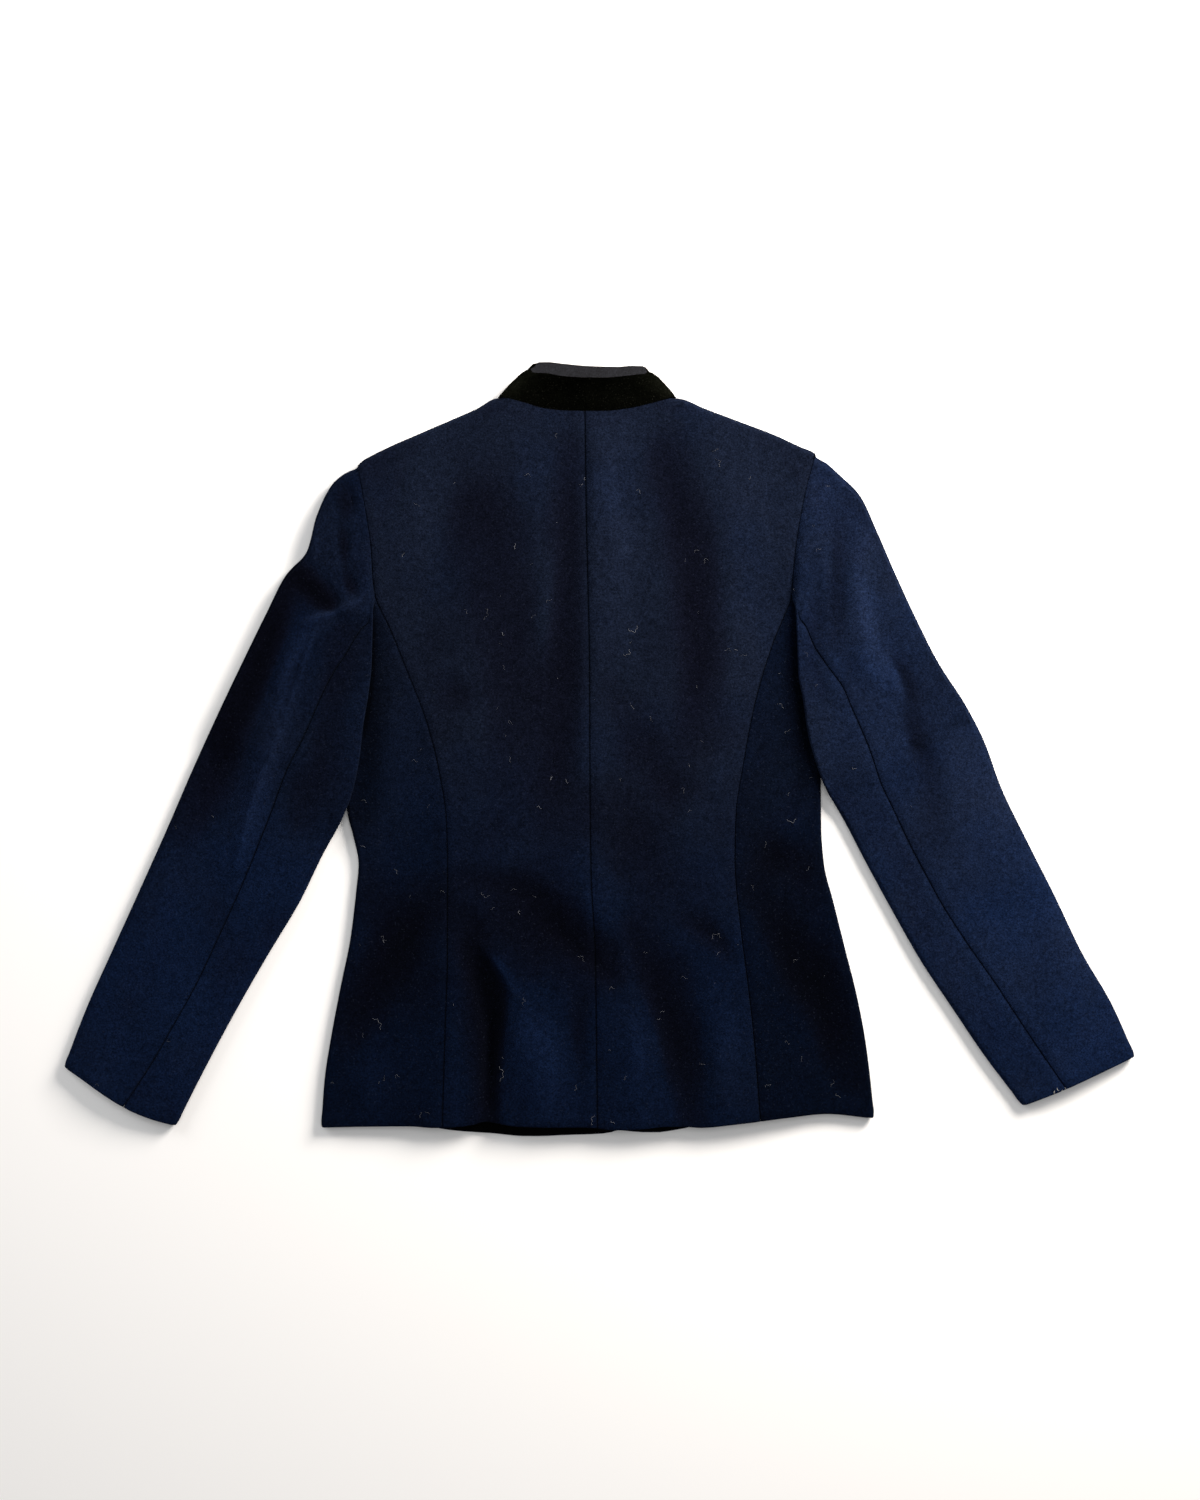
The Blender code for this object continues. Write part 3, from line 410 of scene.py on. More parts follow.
def cloth_relief(x: np.ndarray, y: np.ndarray) -> np.ndarray:
    """All the creases and swells of the cloth's upper face at these places."""
    off_x, off_y = (ripple.at(x, y) for ripple in WANDER)
    folds = FOLD_GAIN * crease_relief(x + off_x, y + off_y, MAIN_FOLDS + SMALL_CREASES)
    folds = folds + crease_relief(x + 2 * off_x, y + 2 * off_y, SWELLS)
    return folds + CLOTH_RIPPLE.at(x, y) + CLOTH_DIMPLE.at(x, y)


def new_object(name: str, data: bpy.types.ID) -> Part:
    """An object that holds this data, at the scene's origin."""
    made = bpy.data.objects.new(name, data)
    bpy.context.scene.collection.objects.link(made)
    return made


def unit(vectors: np.ndarray) -> np.ndarray:
    """The vectors with length 1."""
    return vectors / np.maximum(np.linalg.norm(vectors, axis=-1, keepdims=True), 1e-9)


def normals_of(points: Grid) -> Grid:
    """Unit normals of a grid of points, on the side of its columns crossed with its rows."""
    return unit(np.cross(np.gradient(points, axis=0), np.gradient(points, axis=1)))


def run_lengths(points: Grid, axis: int) -> np.ndarray:
    """How far each grid point is from the first one of its row (axis 1) or column (axis 0)."""
    steps = np.linalg.norm(np.diff(points, axis=axis), axis=2)
    first = np.zeros_like(np.take(steps, [0], axis=axis))
    return np.cumsum(np.concatenate([first, steps], axis=axis), axis=axis)


def edge_distance(points: Grid, edge: str) -> np.ndarray:
    """How far each point is from one edge: first_row, last_row, first_column or last_column."""
    axis = 0 if edge.endswith("row") else 1
    runs = run_lengths(points, axis)
    if edge.startswith("first"):
        return runs
    return np.take(runs, [-1], axis=axis) - runs


# -------------------- finishes
@dataclass
class Nodes:
    """A material's nodes. Most methods add one and return the socket that it is read by."""

    tree: bpy.types.NodeTree

    def feed(self, node: bpy.types.Node, inputs: dict) -> None:
        """Sets a node's inputs, by name or number, to values, or links them to sockets."""
        for where, value in inputs.items():
            if isinstance(value, bpy.types.NodeSocket):
                self.tree.links.new(value, node.inputs[where])
            else:
                node.inputs[where].default_value = value

    def add(self, kind: str, output: str | int, inputs: dict | None = None, **settings) -> Socket:
        """Adds a shader node of this kind, and returns the output that is asked for."""
        node = self.tree.nodes.new(f"ShaderNode{kind}")
        for key, value in settings.items():
            setattr(node, key, value)
        self.feed(node, inputs or {})
        return node.outputs[output]

    def noise(self, size: float, detail: float, roughness: float = 0.5) -> Socket:
        """Noise of this grain size, in metres, fixed to the object."""
        return self.add("TexNoise", "Fac", {
            "Vector": self.add("TexCoord", "Object"), "Scale": 1 / size, "Detail": detail,
            "Roughness": roughness,
        })

    def spread(self, value: Socket, source: Span, target: Span) -> Socket:
        """The value with the source span stretched over the target one."""
        return self.add("MapRange", "Result", {
            "Value": value, "From Min": source[0], "From Max": source[1], "To Min": target[0],
            "To Max": target[1],
        })

    def maths(self, operation: str, a: Socket, b: Socket, clamp: bool = False) -> Socket:
        """Two numbers added or multiplied."""
        return self.add("Math", "Value", {0: a, 1: b}, operation=operation, use_clamp=clamp)

    def mix(self, share, a, b, blend_type: str = "MIX") -> Socket:
        """Colour a turned into b by a share."""
        colours = {6: a, 7: b}
        feeds = {key: (*c, 1.0) if isinstance(c, tuple) else c for key, c in colours.items()}
        return self.add("Mix", 2, {0: share, **feeds}, data_type="RGBA", blend_type=blend_type)

    def attribute(self, name: str) -> Socket:
        """The piece's own number of this name, which differs from point to point."""
        return self.add("Attribute", "Fac", attribute_name=name)


def new_material(name: str, looks: dict) -> tuple[bpy.types.Material, Nodes, bpy.types.Node]:
    """A node material, its nodes, and its shader with these looks."""
    made = bpy.data.materials.new(name)
    made.use_nodes = True
    nodes, shader = Nodes(made.node_tree), made.node_tree.nodes["Principled BSDF"]
    nodes.feed(shader, looks)
    return made, nodes, shader


@dataclass(frozen=True)
class ClothFinish:
    """A woven or piled cloth: its colour, how it varies, its painted light and shade, its threads
    and its sheen.

    Colours are linear. Lengths are in metres. The threads follow the piece's UV map, which is
    laid out in metres, and the rest follows Object coordinates.
    """

    name: str
    slot: Slot
    colour: Colour
    worn_and_sheen_colour: Colour
    painted_fold_shade_colour: Colour  # painted shade colour, taken in the troughs
    fleck_colour: Colour
    roughness: float
    specular: float
    sheen: float
    patch_size: float
    fleck_share: float
    sheen_roughness: float = 0.4
    sheen_tint: Colour = (0.8, 0.85, 1.0)
    thread_pitch: float = 0.0005
    thread_depth: float = 0.00006
    nap_size: float = 0.0012
    nap_depth: float = 0.0001

    def material(self) -> bpy.types.Material:
        """The finish as a node material, made once."""
        return bpy.data.materials.get(self.name) or self.made()

    def made(self) -> bpy.types.Material:
        """Builds the node tree, and returns the new material."""
        made, nodes, shader = new_material(self.name, {
            "Roughness": self.roughness, "Specular IOR Level": self.specular,
            "Sheen Weight": self.sheen, "Sheen Roughness": self.sheen_roughness,
            "Sheen Tint": (*self.sheen_tint, 1.0),
        })
        nap_and_painted_light = nodes.noise(self.nap_size, 3.0, 0.65)
        tufts = nodes.noise(self.nap_size / 0.28, 3.0, 0.7)
        flecks = nodes.noise(self.nap_size / 0.9, 1.0)
        patches = nodes.noise(self.patch_size, 4.0, 0.6)

        uneven = nodes.spread(patches, (0.36, 0.66), (-0.25, 0.25))
        # painted grey sheen from the piece, added to the uneven patches that are the cloth's own
        worn_and_painted_sheen = nodes.maths("ADD", uneven, nodes.attribute("painted_sheen"), clamp=True)
        mottled_and_painted_sheen = nodes.mix(worn_and_painted_sheen, self.colour, self.worn_and_sheen_colour)
        # painted shade colour in the troughs
        painted_fold_shaded = nodes.mix(nodes.attribute("painted_fold_shade"), mottled_and_painted_sheen, self.painted_fold_shade_colour)
        grain = nodes.spread(nap_and_painted_light, (0.3, 0.7), (0.4, 1.7))
        grained = nodes.maths("MULTIPLY", grain, nodes.spread(tufts, (0.3, 0.7), (0.7, 1.3)))
        # painted light and shade from the piece, times the grain
        tone_with_painted_light = nodes.maths("MULTIPLY", grained, nodes.attribute("nap_and_painted_light"))
        shaded = nodes.mix(1.0, painted_fold_shaded, tone_with_painted_light, "MULTIPLY")
        few = nodes.spread(flecks, (0.66, 0.74), (0.0, self.fleck_share))
        flecked = nodes.mix(few, shaded, self.fleck_colour)

        weave = nodes.maths("MULTIPLY", self.threads(nodes, "X"), self.threads(nodes, "Y"))
        threads = nodes.add("Bump", "Normal", {
            "Strength": 0.6, "Distance": self.thread_depth, "Height": weave,
        })
        pile = nodes.add("Bump", "Normal", {
            "Strength": 0.8, "Distance": self.nap_depth, "Height": nap_and_painted_light, "Normal": threads,
        })
        nodes.feed(shader, {"Base Color": flecked, "Normal": pile})
        return made

    def threads(self, nodes: Nodes, direction: str) -> Socket:
        """The height of the threads that lie side by side in this direction."""
        return nodes.add("TexWave", "Fac", {
            "Vector": nodes.add("TexCoord", "UV"), "Scale": WAVE_UNIT / self.thread_pitch,
            "Distortion": 1.2, "Detail": 1.0, "Detail Scale": 1.5,
        }, bands_direction=direction)


NAVY_WOOL = ClothFinish(
    name="navy_wool_cloth", slot=Slot.WOOL, colour=(0.0021, 0.0051, 0.0168),
    worn_and_sheen_colour=(0.0037, 0.0057, 0.0128), painted_fold_shade_colour=(0.0038, 0.0042, 0.0104),
    fleck_colour=(0.030, 0.038, 0.065), roughness=0.95, specular=0.0, sheen=0.02,
    patch_size=0.11, fleck_share=0.14, sheen_roughness=0.6, sheen_tint=(0.45, 0.6, 1.0),
    thread_pitch=0.0008, thread_depth=0.00012, nap_size=0.0016, nap_depth=0.00035,
)
BLACK_VELVET = ClothFinish(
    name="black_velvet_pile", slot=Slot.VELVET, colour=(0.0008, 0.0009, 0.0006),
    worn_and_sheen_colour=(0.0016, 0.0017, 0.0012), painted_fold_shade_colour=(0.0006, 0.0006, 0.0005),
    fleck_colour=(0.02, 0.02, 0.016), roughness=1.0, specular=0.0, sheen=0.012,
    patch_size=0.016, fleck_share=0.4, sheen_roughness=0.35, sheen_tint=(0.9, 0.92, 0.9),
    thread_pitch=0.0006, thread_depth=0.00005, nap_size=0.0011, nap_depth=0.0005,
)
COLLAR_LINING = ClothFinish(
    name="charcoal_collar_lining", slot=Slot.COLLAR_LINING, colour=(0.0082, 0.0086, 0.0112),
    worn_and_sheen_colour=(0.0108, 0.0114, 0.0150), painted_fold_shade_colour=(0.008, 0.008, 0.010),
    fleck_colour=(0.05, 0.05, 0.06), roughness=0.7, specular=0.1, sheen=0.03,
    patch_size=0.03, fleck_share=0.2,
)
DARK_LINING = ClothFinish(
    name="near_black_lining", slot=Slot.DARK_LINING, colour=(0.0005, 0.0005, 0.0006),
    worn_and_sheen_colour=(0.0009, 0.0009, 0.0010), painted_fold_shade_colour=(0.0004, 0.0004, 0.0005),
    fleck_colour=(0.012, 0.012, 0.014), roughness=0.75, specular=0.02, sheen=0.0,
    patch_size=0.04, fleck_share=0.15,
)


# -------------------- cloth pieces
@dataclass(frozen=True)
class Cut:
    """A piece's flat cut before it was sewn: width and length, and the area inside, in metres."""

    width: float
    length: float
    area: float


@dataclass(frozen=True)
class PaintedLight:
    """Painted light and shade on a piece near the shoulders and near the hem: a multiple of its
    colour, below 1 for painted shade, and how much painted grey sheen it takes.
    """

    upper: float = 1.0
    lower: float = 1.0
    upper_painted_sheen: float = 0.0
    lower_painted_sheen: float = 0.0
    painted_fold_shade: float = 1.0  # how much of the painted shade colour its troughs take


@dataclass
class ClothPiece:
    """One cut piece of cloth, made as a closed wall under a grid of outer points."""

    name: str
    finish: ClothFinish
    outer: Grid
    wall: float
    rests_on: tuple[str, ...] = ()
    turned: tuple[str, ...] = ()  # edges that roll over into a seam, fold or hem
    # painted light and shade, with painted grey sheen
    nap_and_painted_light: PaintedLight = PaintedLight()
    hidden_seam: float = 0.0  # the edge at the side shows no seam this near the first row
    seam_shade: float = SEAM_SHADE
    painted_light_and_shade: tuple[Crease, ...] = ()  # painted shade where negative, as the shadow where another piece lies over this; painted light where positive
    tuck: np.ndarray | None = None  # from the first row, where its allowance goes under a neighbour

    def build(self, normals: Grid | None = None, flip: bool = False) -> Part:
        """Makes the wall, puts it under the root, and hides the solid that it stands in for.

        Args:
            normals: which way the cloth faces, or None to work it out from the grid.
            flip: the grid's own normals face the other way.

        Returns:
            The new object, which stands in for the solid of the same name.
        """
        if normals is None:
            normals = normals_of(self.outer) * (-1 if flip else 1)
        normals = np.where(self.outer[..., 2:] < ON_TABLE, [0.0, 0.0, -1.0], normals)
        outer, inner = self.outer.copy(), self.outer - normals * self.wall
        for edge in self.turned:
            distance, seen = edge_distance(self.outer, edge), self.seen(edge)
            into_roll = np.clip(1 - distance / SEAM_ROLL, 0, 1)
            bend = seen * (1 - np.sqrt(np.clip(1 - into_roll**2, 0, 1)))
            puff = seen * SEAM_PUFF * np.exp(-(((distance - SEAM_PUFF_AT) / SEAM_PUFF_WIDTH) ** 2))
            dip = seen * SEAM_DROP * DIP_SHARE * np.exp(-((distance / DIP_WIDTH) ** 2))
            outer += normals * (puff - dip - SEAM_DROP * bend)[..., None]
            inner += normals * (0.5 * SEAM_DROP * bend)[..., None]
        looks = self.looks()
        if self.tuck is not None:
            outer = np.concatenate([outer[:1] + self.tuck, outer])
            inner = np.concatenate([inner[:1] + self.tuck, inner])
            looks = {look: np.concatenate([values[:1], values]) for look, values in looks.items()}
        for points in (outer, inner):
            points[..., 2] = np.maximum(points[..., 2], 0)
        if flip:
            outer, inner = outer[:, ::-1], inner[:, ::-1]
            looks = {look: values[:, ::-1] for look, values in looks.items()}
        piece = wall_mesh(self.name, outer, inner, looks)
        piece.data.materials.append(self.finish.material())
        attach(piece, "root")
        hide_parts(self.name)
        list(self.rests_on)
        log.info("%s: %d faces", self.name, len(piece.data.polygons))
        return piece

    def seen(self, edge: str) -> np.ndarray | float:
        """How much of the seam along this edge shows at each point, from 0 to 1."""
        if edge.endswith("row") or not self.hidden_seam:
            return 1.0
        clear = edge_distance(self.outer, "first_row") - self.hidden_seam
        return smoothstep(1 + clear / SEAM_FADE)

    def looks(self) -> dict[str, np.ndarray]:
        """What the finish reads at each point, which is painted light and shade.

        Returns:
            The painted light and shade at each point, paler on ridges and darker in troughs and at
            seams; the painted grey sheen; and how much of the painted shade colour a trough takes.
        """
        x, y = self.outer[..., 0], self.outer[..., 1]
        up = smoothstep((y - PAINTED_LIGHT_LOW) / (PAINTED_LIGHT_HIGH - PAINTED_LIGHT_LOW))
        relief = cloth_relief(x, y)
        # painted light on ridges and painted shade in troughs
        ridges = np.minimum(1 + RIDGE_PAINTED_LIGHT * relief, PALEST)
        troughs = 1 / (1 - TROUGH_PAINTED_SHADE * np.minimum(relief, 0))
        tone_with_painted_light = np.where(relief > 0, ridges, troughs)
        # painted light and shade that change from the hem to the shoulders
        nap_and_painted_light = tone_with_painted_light * blend(self.nap_and_painted_light.lower, self.nap_and_painted_light.upper, up)
        # painted shade along each seam's groove
        for edge in self.turned:
            if edge == "last_row":
                continue
            near = np.exp(-((edge_distance(self.outer, edge) / SEAM_SHADE_WIDTH) ** 2))
            shade = SEAM_SHADE if edge == "first_row" else self.seam_shade
            nap_and_painted_light = nap_and_painted_light * (1 - (1 - shade) * near * self.seen(edge))
        # painted light and shade from the piece's own list of creases
        if self.painted_light_and_shade:
            nap_and_painted_light = nap_and_painted_light * np.maximum(1 + SHADE_GAIN * crease_relief(x, y, self.painted_light_and_shade), LEAST_SHADE)
        # painted grey sheen, from the hem's share to the shoulders' share
        painted_sheen = blend(self.nap_and_painted_light.lower_painted_sheen, self.nap_and_painted_light.upper_painted_sheen, up)
        # how much painted shade colour a trough takes
        painted_fold_shade = self.nap_and_painted_light.painted_fold_shade * np.clip((PAINTED_FOLD_SHADE_START - tone_with_painted_light) / PAINTED_FOLD_SHADE_SPAN, 0, 1)
        return {"nap_and_painted_light": nap_and_painted_light, "painted_sheen": painted_sheen, "painted_fold_shade": painted_fold_shade}


def wall_mesh(
    name: str, outer: Grid, inner: Grid, looks: dict[str, np.ndarray]
) -> Part:
    """A closed wall between two grids, the outer face first, with a UV map in metres.

    Args:
        name: the new object's name.
        outer: the face that shows.
        inner: the face behind it.
        looks: numbers for the finish at each outer point, by attribute name.

    Returns:
        The object, smooth but for its sharp edges.
    """
    rows, columns, _ = outer.shape
    count = rows * columns
    index = np.arange(count).reshape(rows, columns)
    a, b, c, d = index[:-1, :-1], index[:-1, 1:], index[1:, 1:], index[1:, :-1]
    faces = [
        np.stack([a, d, c, b], axis=-1).reshape(-1, 4),
        np.stack([a, b, c, d], axis=-1).reshape(-1, 4) + count,
    ]
    rim = np.concatenate([index[0, :], index[1:, -1], index[-1, -2::-1], index[-2:0:-1, 0]])
    after = np.roll(rim, -1)
    faces.append(np.stack([rim, after, after + count, rim + count], axis=-1))
    corners = np.concatenate(faces)
    mesh = bpy.data.meshes.new(name)
    vertices = np.concatenate([outer.reshape(-1, 3), inner.reshape(-1, 3)]) * MM
    mesh.from_pydata(vertices.tolist(), [], corners.tolist())
    mesh.update()
    across, down = run_lengths(outer, 1), run_lengths(outer, 0)
    flat = np.stack([across, down], axis=-1).reshape(-1, 2) * MM
    layer = mesh.uv_layers.new(name="cloth")
    flat = np.concatenate([flat, flat])[corners.ravel()]
    layer.data.foreach_set("uv", flat.astype(np.float32).ravel())
    for look, values in looks.items():
        values = np.ascontiguousarray(values, np.float32).ravel()
        attribute = mesh.attributes.new(look, "FLOAT", "POINT")
        attribute.data.foreach_set("value", np.concatenate([values, values]))
    piece = new_object(name, mesh)
    mesh.shade_smooth()
    mesh.set_sharp_from_angle(angle=SHARP_ANGLE)
    # the solid of the same name keeps it, so the piece is told apart by its ending
    piece.name = f"{name}_cloth"
    return piece


def fold_points(
    x: float, y: float, inward: int, depth: float, radius: float, turns: np.ndarray
) -> np.ndarray:
    """Points round a fold that stands on the floor.

    Args:
        x: of the fold's outermost line.
        y: of all its points.
        inward: +1 where the cloth lies toward +X of it.
        depth: how far in the fold's middle is.
        radius: half its height.
        turns: one angle for each point, 0 at the outermost line.

    Returns:
        One point for each angle.
    """
    across = x + inward * depth * (1 - np.cos(turns))
    return row_of(across, y, radius * (1 + np.sin(turns)))


# -------------------- the body
# painted shade darkens the back toward the hem, and painted grey sheen greys it near the shoulders
BACK_PAINTED_LIGHT = PaintedLight(1.0, 0.62, 1.0, 0.0)
SHOULDER_ANGLES = (0, 12, 24, 36, 48, 60, 70, 80)  # of the rows over the shoulder's fold
MEAN_WIDTH = 0.8  # a panel's mean width as a share of its shoulder's, for its column spacing
EVEN_AT = 1.2  # the columns are evenly spaced from 1 / 1.2 of the way down
SIDE_WIDTH, SIDE_SPACING = 90.0, 3.0  # of the side panel's part that shows, for its columns
HIDDEN_STEPS = 9  # columns of its hidden under part
ARMHOLE_STEPS = 19  # points on each of the armhole's two parts
ARMHOLE_BEND = 0.9  # nearly straight, so that the sleeve lying over it leaves no crack
ARMHOLE_REACH = 0.25  # of the side panel's length, over which the armhole's curve dies out
UNDERARM_IN, UNDERARM_OUT = 4.0, 2.0  # where the armhole turns, in and out from the side fold


@dataclass(frozen=True)
class BodyHalf:
    """One half of the body: its seam and edge lines."""

    name: str
    inward: int  # +1 where the centre lies toward +X
    top: Line  # shoulder tip, neck corner, centre back
    neck_corner: int  # index of the neck corner in top
    back_seam: Line  # armhole, then princess seam
    front_seam: Line  # armhole, then the hidden front side seam
    side: Line  # side fold from the underarm down
    # painted light and shade on the side panel
    side_nap: PaintedLight
    under_sleeve: tuple[Crease, ...]  # painted shadow along the sleeve's edge on the side panel
    armhole_end: float = 137.0  # y where the armhole reaches the princess seam

    def height(self, x: np.ndarray, y: np.ndarray, creased: bool = True) -> np.ndarray:
        """Height of the back's and side panel's outer face above the floor."""
        edge_x = np.where(
            y > self.armhole_end,
            x_at(self.back_seam[:5], y),
            x_at((self.back_seam[4],) + self.side, y),
        )
        distance = (x - edge_x) * self.inward
        edge = smooth(HEIGHT_Y, EDGE_HEIGHT, y)
        crown = smooth(HEIGHT_Y, CROWN_HEIGHT, y)
        level = edge + (crown - edge) * smoothstep((distance - RISE_START) / RISE_WIDTH)
        if not creased:
            return level
        return level + cloth_relief(x, y) * smoothstep(distance / RISE_START)

    def panel(self, layer: Layer) -> Grid:
        """The outer points of a back or front panel, rows from the shoulder to the hem.

        Args:
            layer: the back or the front.

        Returns:
            The grid, with columns from the armhole and side seam to the centre.
        """
        is_back = layer is Layer.BACK
        seam = self.back_seam if is_back else self.front_seam
        hem = BACK_HEM if is_back else FRONT_HEM
        corner_x, tip_x = self.top[self.neck_corner][0], self.top[0][0]
        middle_x = self.top[-1][0] if is_back else CENTRE_FRONT_X
        spacing = BODY_SPACING if is_back else HIDDEN_SPACING
        even = crowded(abs(middle_x - tip_x) * MEAN_WIDTH, spacing)
        corner_share = (corner_x - tip_x) / (middle_x - tip_x)
        shares = np.interp(even, (0, NECK_SHARE, 1), (0, corner_share, 1))
        top_x = blend(tip_x, middle_x, shares)
        top_y = y_at(self.top if is_back else self.top[: self.neck_corner] + NECK, top_x)
        open_neck = smoothstep((top_x - corner_x) * self.inward / NECK_CORNER)
        rolled = 1.0 - open_neck
        crown = self.height(top_x, top_y, is_back)
        rows = []
        for angle in SHOULDER_ANGLES:
            turn = math.radians(angle)
            depth = rolled * (1 - math.cos(turn)) + open_neck * angle / 90
            y = top_y - SHOULDER_ROLL * depth
            raised = 0.5 * rolled * (1 - math.sin(turn))
            z = crown * (1 - raised) if is_back else crown * raised
            if angle == 0:
                z = z + rolled * SEAM_GAP / 2 * layer.value
            x = top_x.copy()
            x[0] = x_at(seam, y[0])
            rows.append(row_of(x, y, z))
        start_y, end_y = self.top[0][1] - SHOULDER_ROLL, float(y_at(hem, seam[-1][0]))
        for level in crowded(start_y - end_y, spacing, start=False):
            edge_y = blend(start_y, end_y, level)
            middle_y = blend(top_y[-1] - SHOULDER_ROLL, y_at(hem, middle_x), level)
            edge_x = x_at(seam, edge_y)
            middle = x_at(CENTRE_BACK, middle_y) if is_back else CENTRE_FRONT_X
            share = blend(shares, even, smoothstep(level * EVEN_AT))
            x = blend(edge_x, middle, share)
            y = blend(top_y - SHOULDER_ROLL, y_at(hem, x), level)
            y[0] = edge_y
            rows.append(row_of(x, y, self.height(x, y) if is_back else 0.0))
        grid = np.array(rows)
        grid[:, 0, 0] += CRACK / 2 * self.inward
        grid[:, -1, 0] -= CRACK / 2 * self.inward
        return grid

    def side_panel(self) -> Grid:
        """The side panel's outer points: columns run from the princess seam round the side fold."""
        under_x, under_y = self.side[0]
        back_x = float(x_at(self.back_seam, self.armhole_end))
        bottom = float(y_at(BACK_HEM, self.side[-1][0]))
        top_shares = crowded(SIDE_WIDTH, SIDE_SPACING, start=False)[::-1]
        under_shares = np.linspace(0, 1, HIDDEN_STEPS)
        turns = np.radians(np.linspace(SIDE_FOLD_TURN, -SIDE_FOLD_TURN, FOLD_STEPS))
        rows = []
        for level in crowded(under_y - bottom, BODY_SPACING):
            top_run = self.side_run(self.back_seam, level, top_shares, True, back_x)
            y = blend(under_y, bottom, level)
            radius = 0.5 * float(smooth(HEIGHT_Y, EDGE_HEIGHT, y))
            fold = fold_points(float(x_at(self.side, y)), y, self.inward, radius, radius, turns)
            bottom_run = self.side_run(self.front_seam, level, under_shares, False, back_x)
            rows.append(np.concatenate([top_run, fold, bottom_run]))
        grid = np.array(rows)
        grid[:, 0, 0] -= CRACK / 2 * self.inward
        grid[:, -1, 0] -= CRACK / 2 * self.inward
        return grid

    def side_run(
        self, seam: Line, level: float, shares: np.ndarray, on_top: bool, back_x: float
    ) -> np.ndarray:
        """The points of one row of a side panel, between its side fold and a seam.

        Args:
            seam: the seam at its far end.
            level: 0 at the armhole, 1 at the hem.
            shares: 0 at the side fold, 1 at the seam.
            on_top: the back's side, not the front's.
            back_x: x where the armhole reaches the princess seam.

        Returns:
            One point for each share.
        """
        under_x, under_y = self.side[0]
        angle = np.radians(90 * (1 - shares))
        top_y = self.armhole_end - (self.armhole_end - under_y) * np.sin(angle)
        hem_x = blend(self.side[-1][0], float(x_at(seam, BACK_HEM[0][1])), shares)
        y = blend(top_y, y_at(BACK_HEM, hem_x), level)
        radius = 0.5 * smooth(HEIGHT_Y, EDGE_HEIGHT, y)
        start = x_at(self.side, y) + self.inward * radius
        top_start = under_x + self.inward * radius
        top_x = top_start + (back_x - top_start) * (1 - np.sin(angle) ** ARMHOLE_BEND)
        top_share = (top_x - top_start) / (x_at(seam, top_y) - top_start)
        along = blend(top_share, shares, smoothstep(level / ARMHOLE_REACH))
        x = blend(start, x_at(seam, y), along)
        return row_of(x, y, self.height(x, y) if on_top else 0.0)

    def armhole(self) -> np.ndarray:
        """The armhole as it lies on the floor, in plan, from the underarm to the shoulder tip."""
        under_x, under_y = self.side[0]
        start_x = under_x + self.inward * UNDERARM_IN
        back_x = float(x_at(self.back_seam, self.armhole_end))
        angles = np.radians(np.linspace(90, 0, ARMHOLE_STEPS))
        curve = np.stack([
            start_x + (back_x - start_x) * np.cos(angles),
            self.armhole_end - (self.armhole_end - under_y) * np.sin(angles),
        ], axis=1)
        ys = np.linspace(self.armhole_end, self.top[0][1], ARMHOLE_STEPS)[1:]
        line = np.concatenate([
            [(under_x - self.inward * UNDERARM_OUT, under_y + 0.5)], curve,
            np.stack([x_at(self.back_seam, ys), ys], axis=1),
        ])
        step = unit(np.gradient(line, axis=0))
        outward = np.stack([-step[:, 1], step[:, 0]], axis=1) * self.inward
        return line + outward * 3 * SEAM_GAP

    def build(self) -> list[Part]:
        """Makes the back, side and front panels of this half."""
        made = []
        mirrored = self.inward < 0
        for layer, part in ((Layer.BACK, "back"), (Layer.FRONT, "front")):
            is_back = layer is Layer.BACK
            made.append(ClothPiece(
                f"{part}_{self.name}", NAVY_WOOL, self.panel(layer), WALL,
                rests_on=(f"front_{self.name}",) if is_back else (),
                turned=("first_column", "last_column", "last_row") if is_back else ("last_row",),
                nap_and_painted_light=BACK_PAINTED_LIGHT,
            ).build(flip=mirrored == is_back))
        made.append(ClothPiece(
            f"side_{self.name}", NAVY_WOOL, self.side_panel(), WALL,
            turned=("first_column", "last_row"), nap_and_painted_light=self.side_nap, painted_light_and_shade=self.under_sleeve,
        ).build(flip=not mirrored))
        return made


LEFT = BodyHalf(
    name="left",
    inward=1,
    top=(
        (-213.5, 250.5), (-205.5, 256.5), (-185, 267), (-160.5, 277.5), (-136, 288), (-108.5, 300),
    ) + NECK[:5],
    neck_corner=6,
    back_seam=(
        (-213.5, 250.5), (-205.5, 206.5), (-201.5, 177.5), (-200, 148.5), (-198.5, 137),
        (-184.5, 105.5), (-171, 72.5), (-151, 20), (-140.5, -22.5), (-135, -60), (-134, -95),
        (-134, -179), (-136, -247), (-138.5, -335),
    ),
    front_seam=(
        (-213.5, 250.5), (-205.5, 206.5), (-201, 177.5), (-199, 148.5), (-196, 131.5), (-190, 90),
        (-186, 20), (-184, -60), (-184, -110), (-188, -200), (-194, -335),
    ),
    side=(
        (-219.5, 57), (-223, 8), (-224, -35), (-222.5, -57.5), (-218, -75), (-213, -102),
        (-215, -124), (-220, -166), (-228.5, -208), (-236.5, -250), (-243, -292), (-246, -335),
    ),
    # painted shade: the side panel is darker than the back, most of all near the hem
    side_nap=PaintedLight(0.8, 0.5, 0.7, 0.0),
    under_sleeve=creases(
        (-196, 120, -196, 20, -212, -75, 15, -3.4), (-199, 128, -199, 66, -208, 12, 2.4, -3.6),
    ),
)
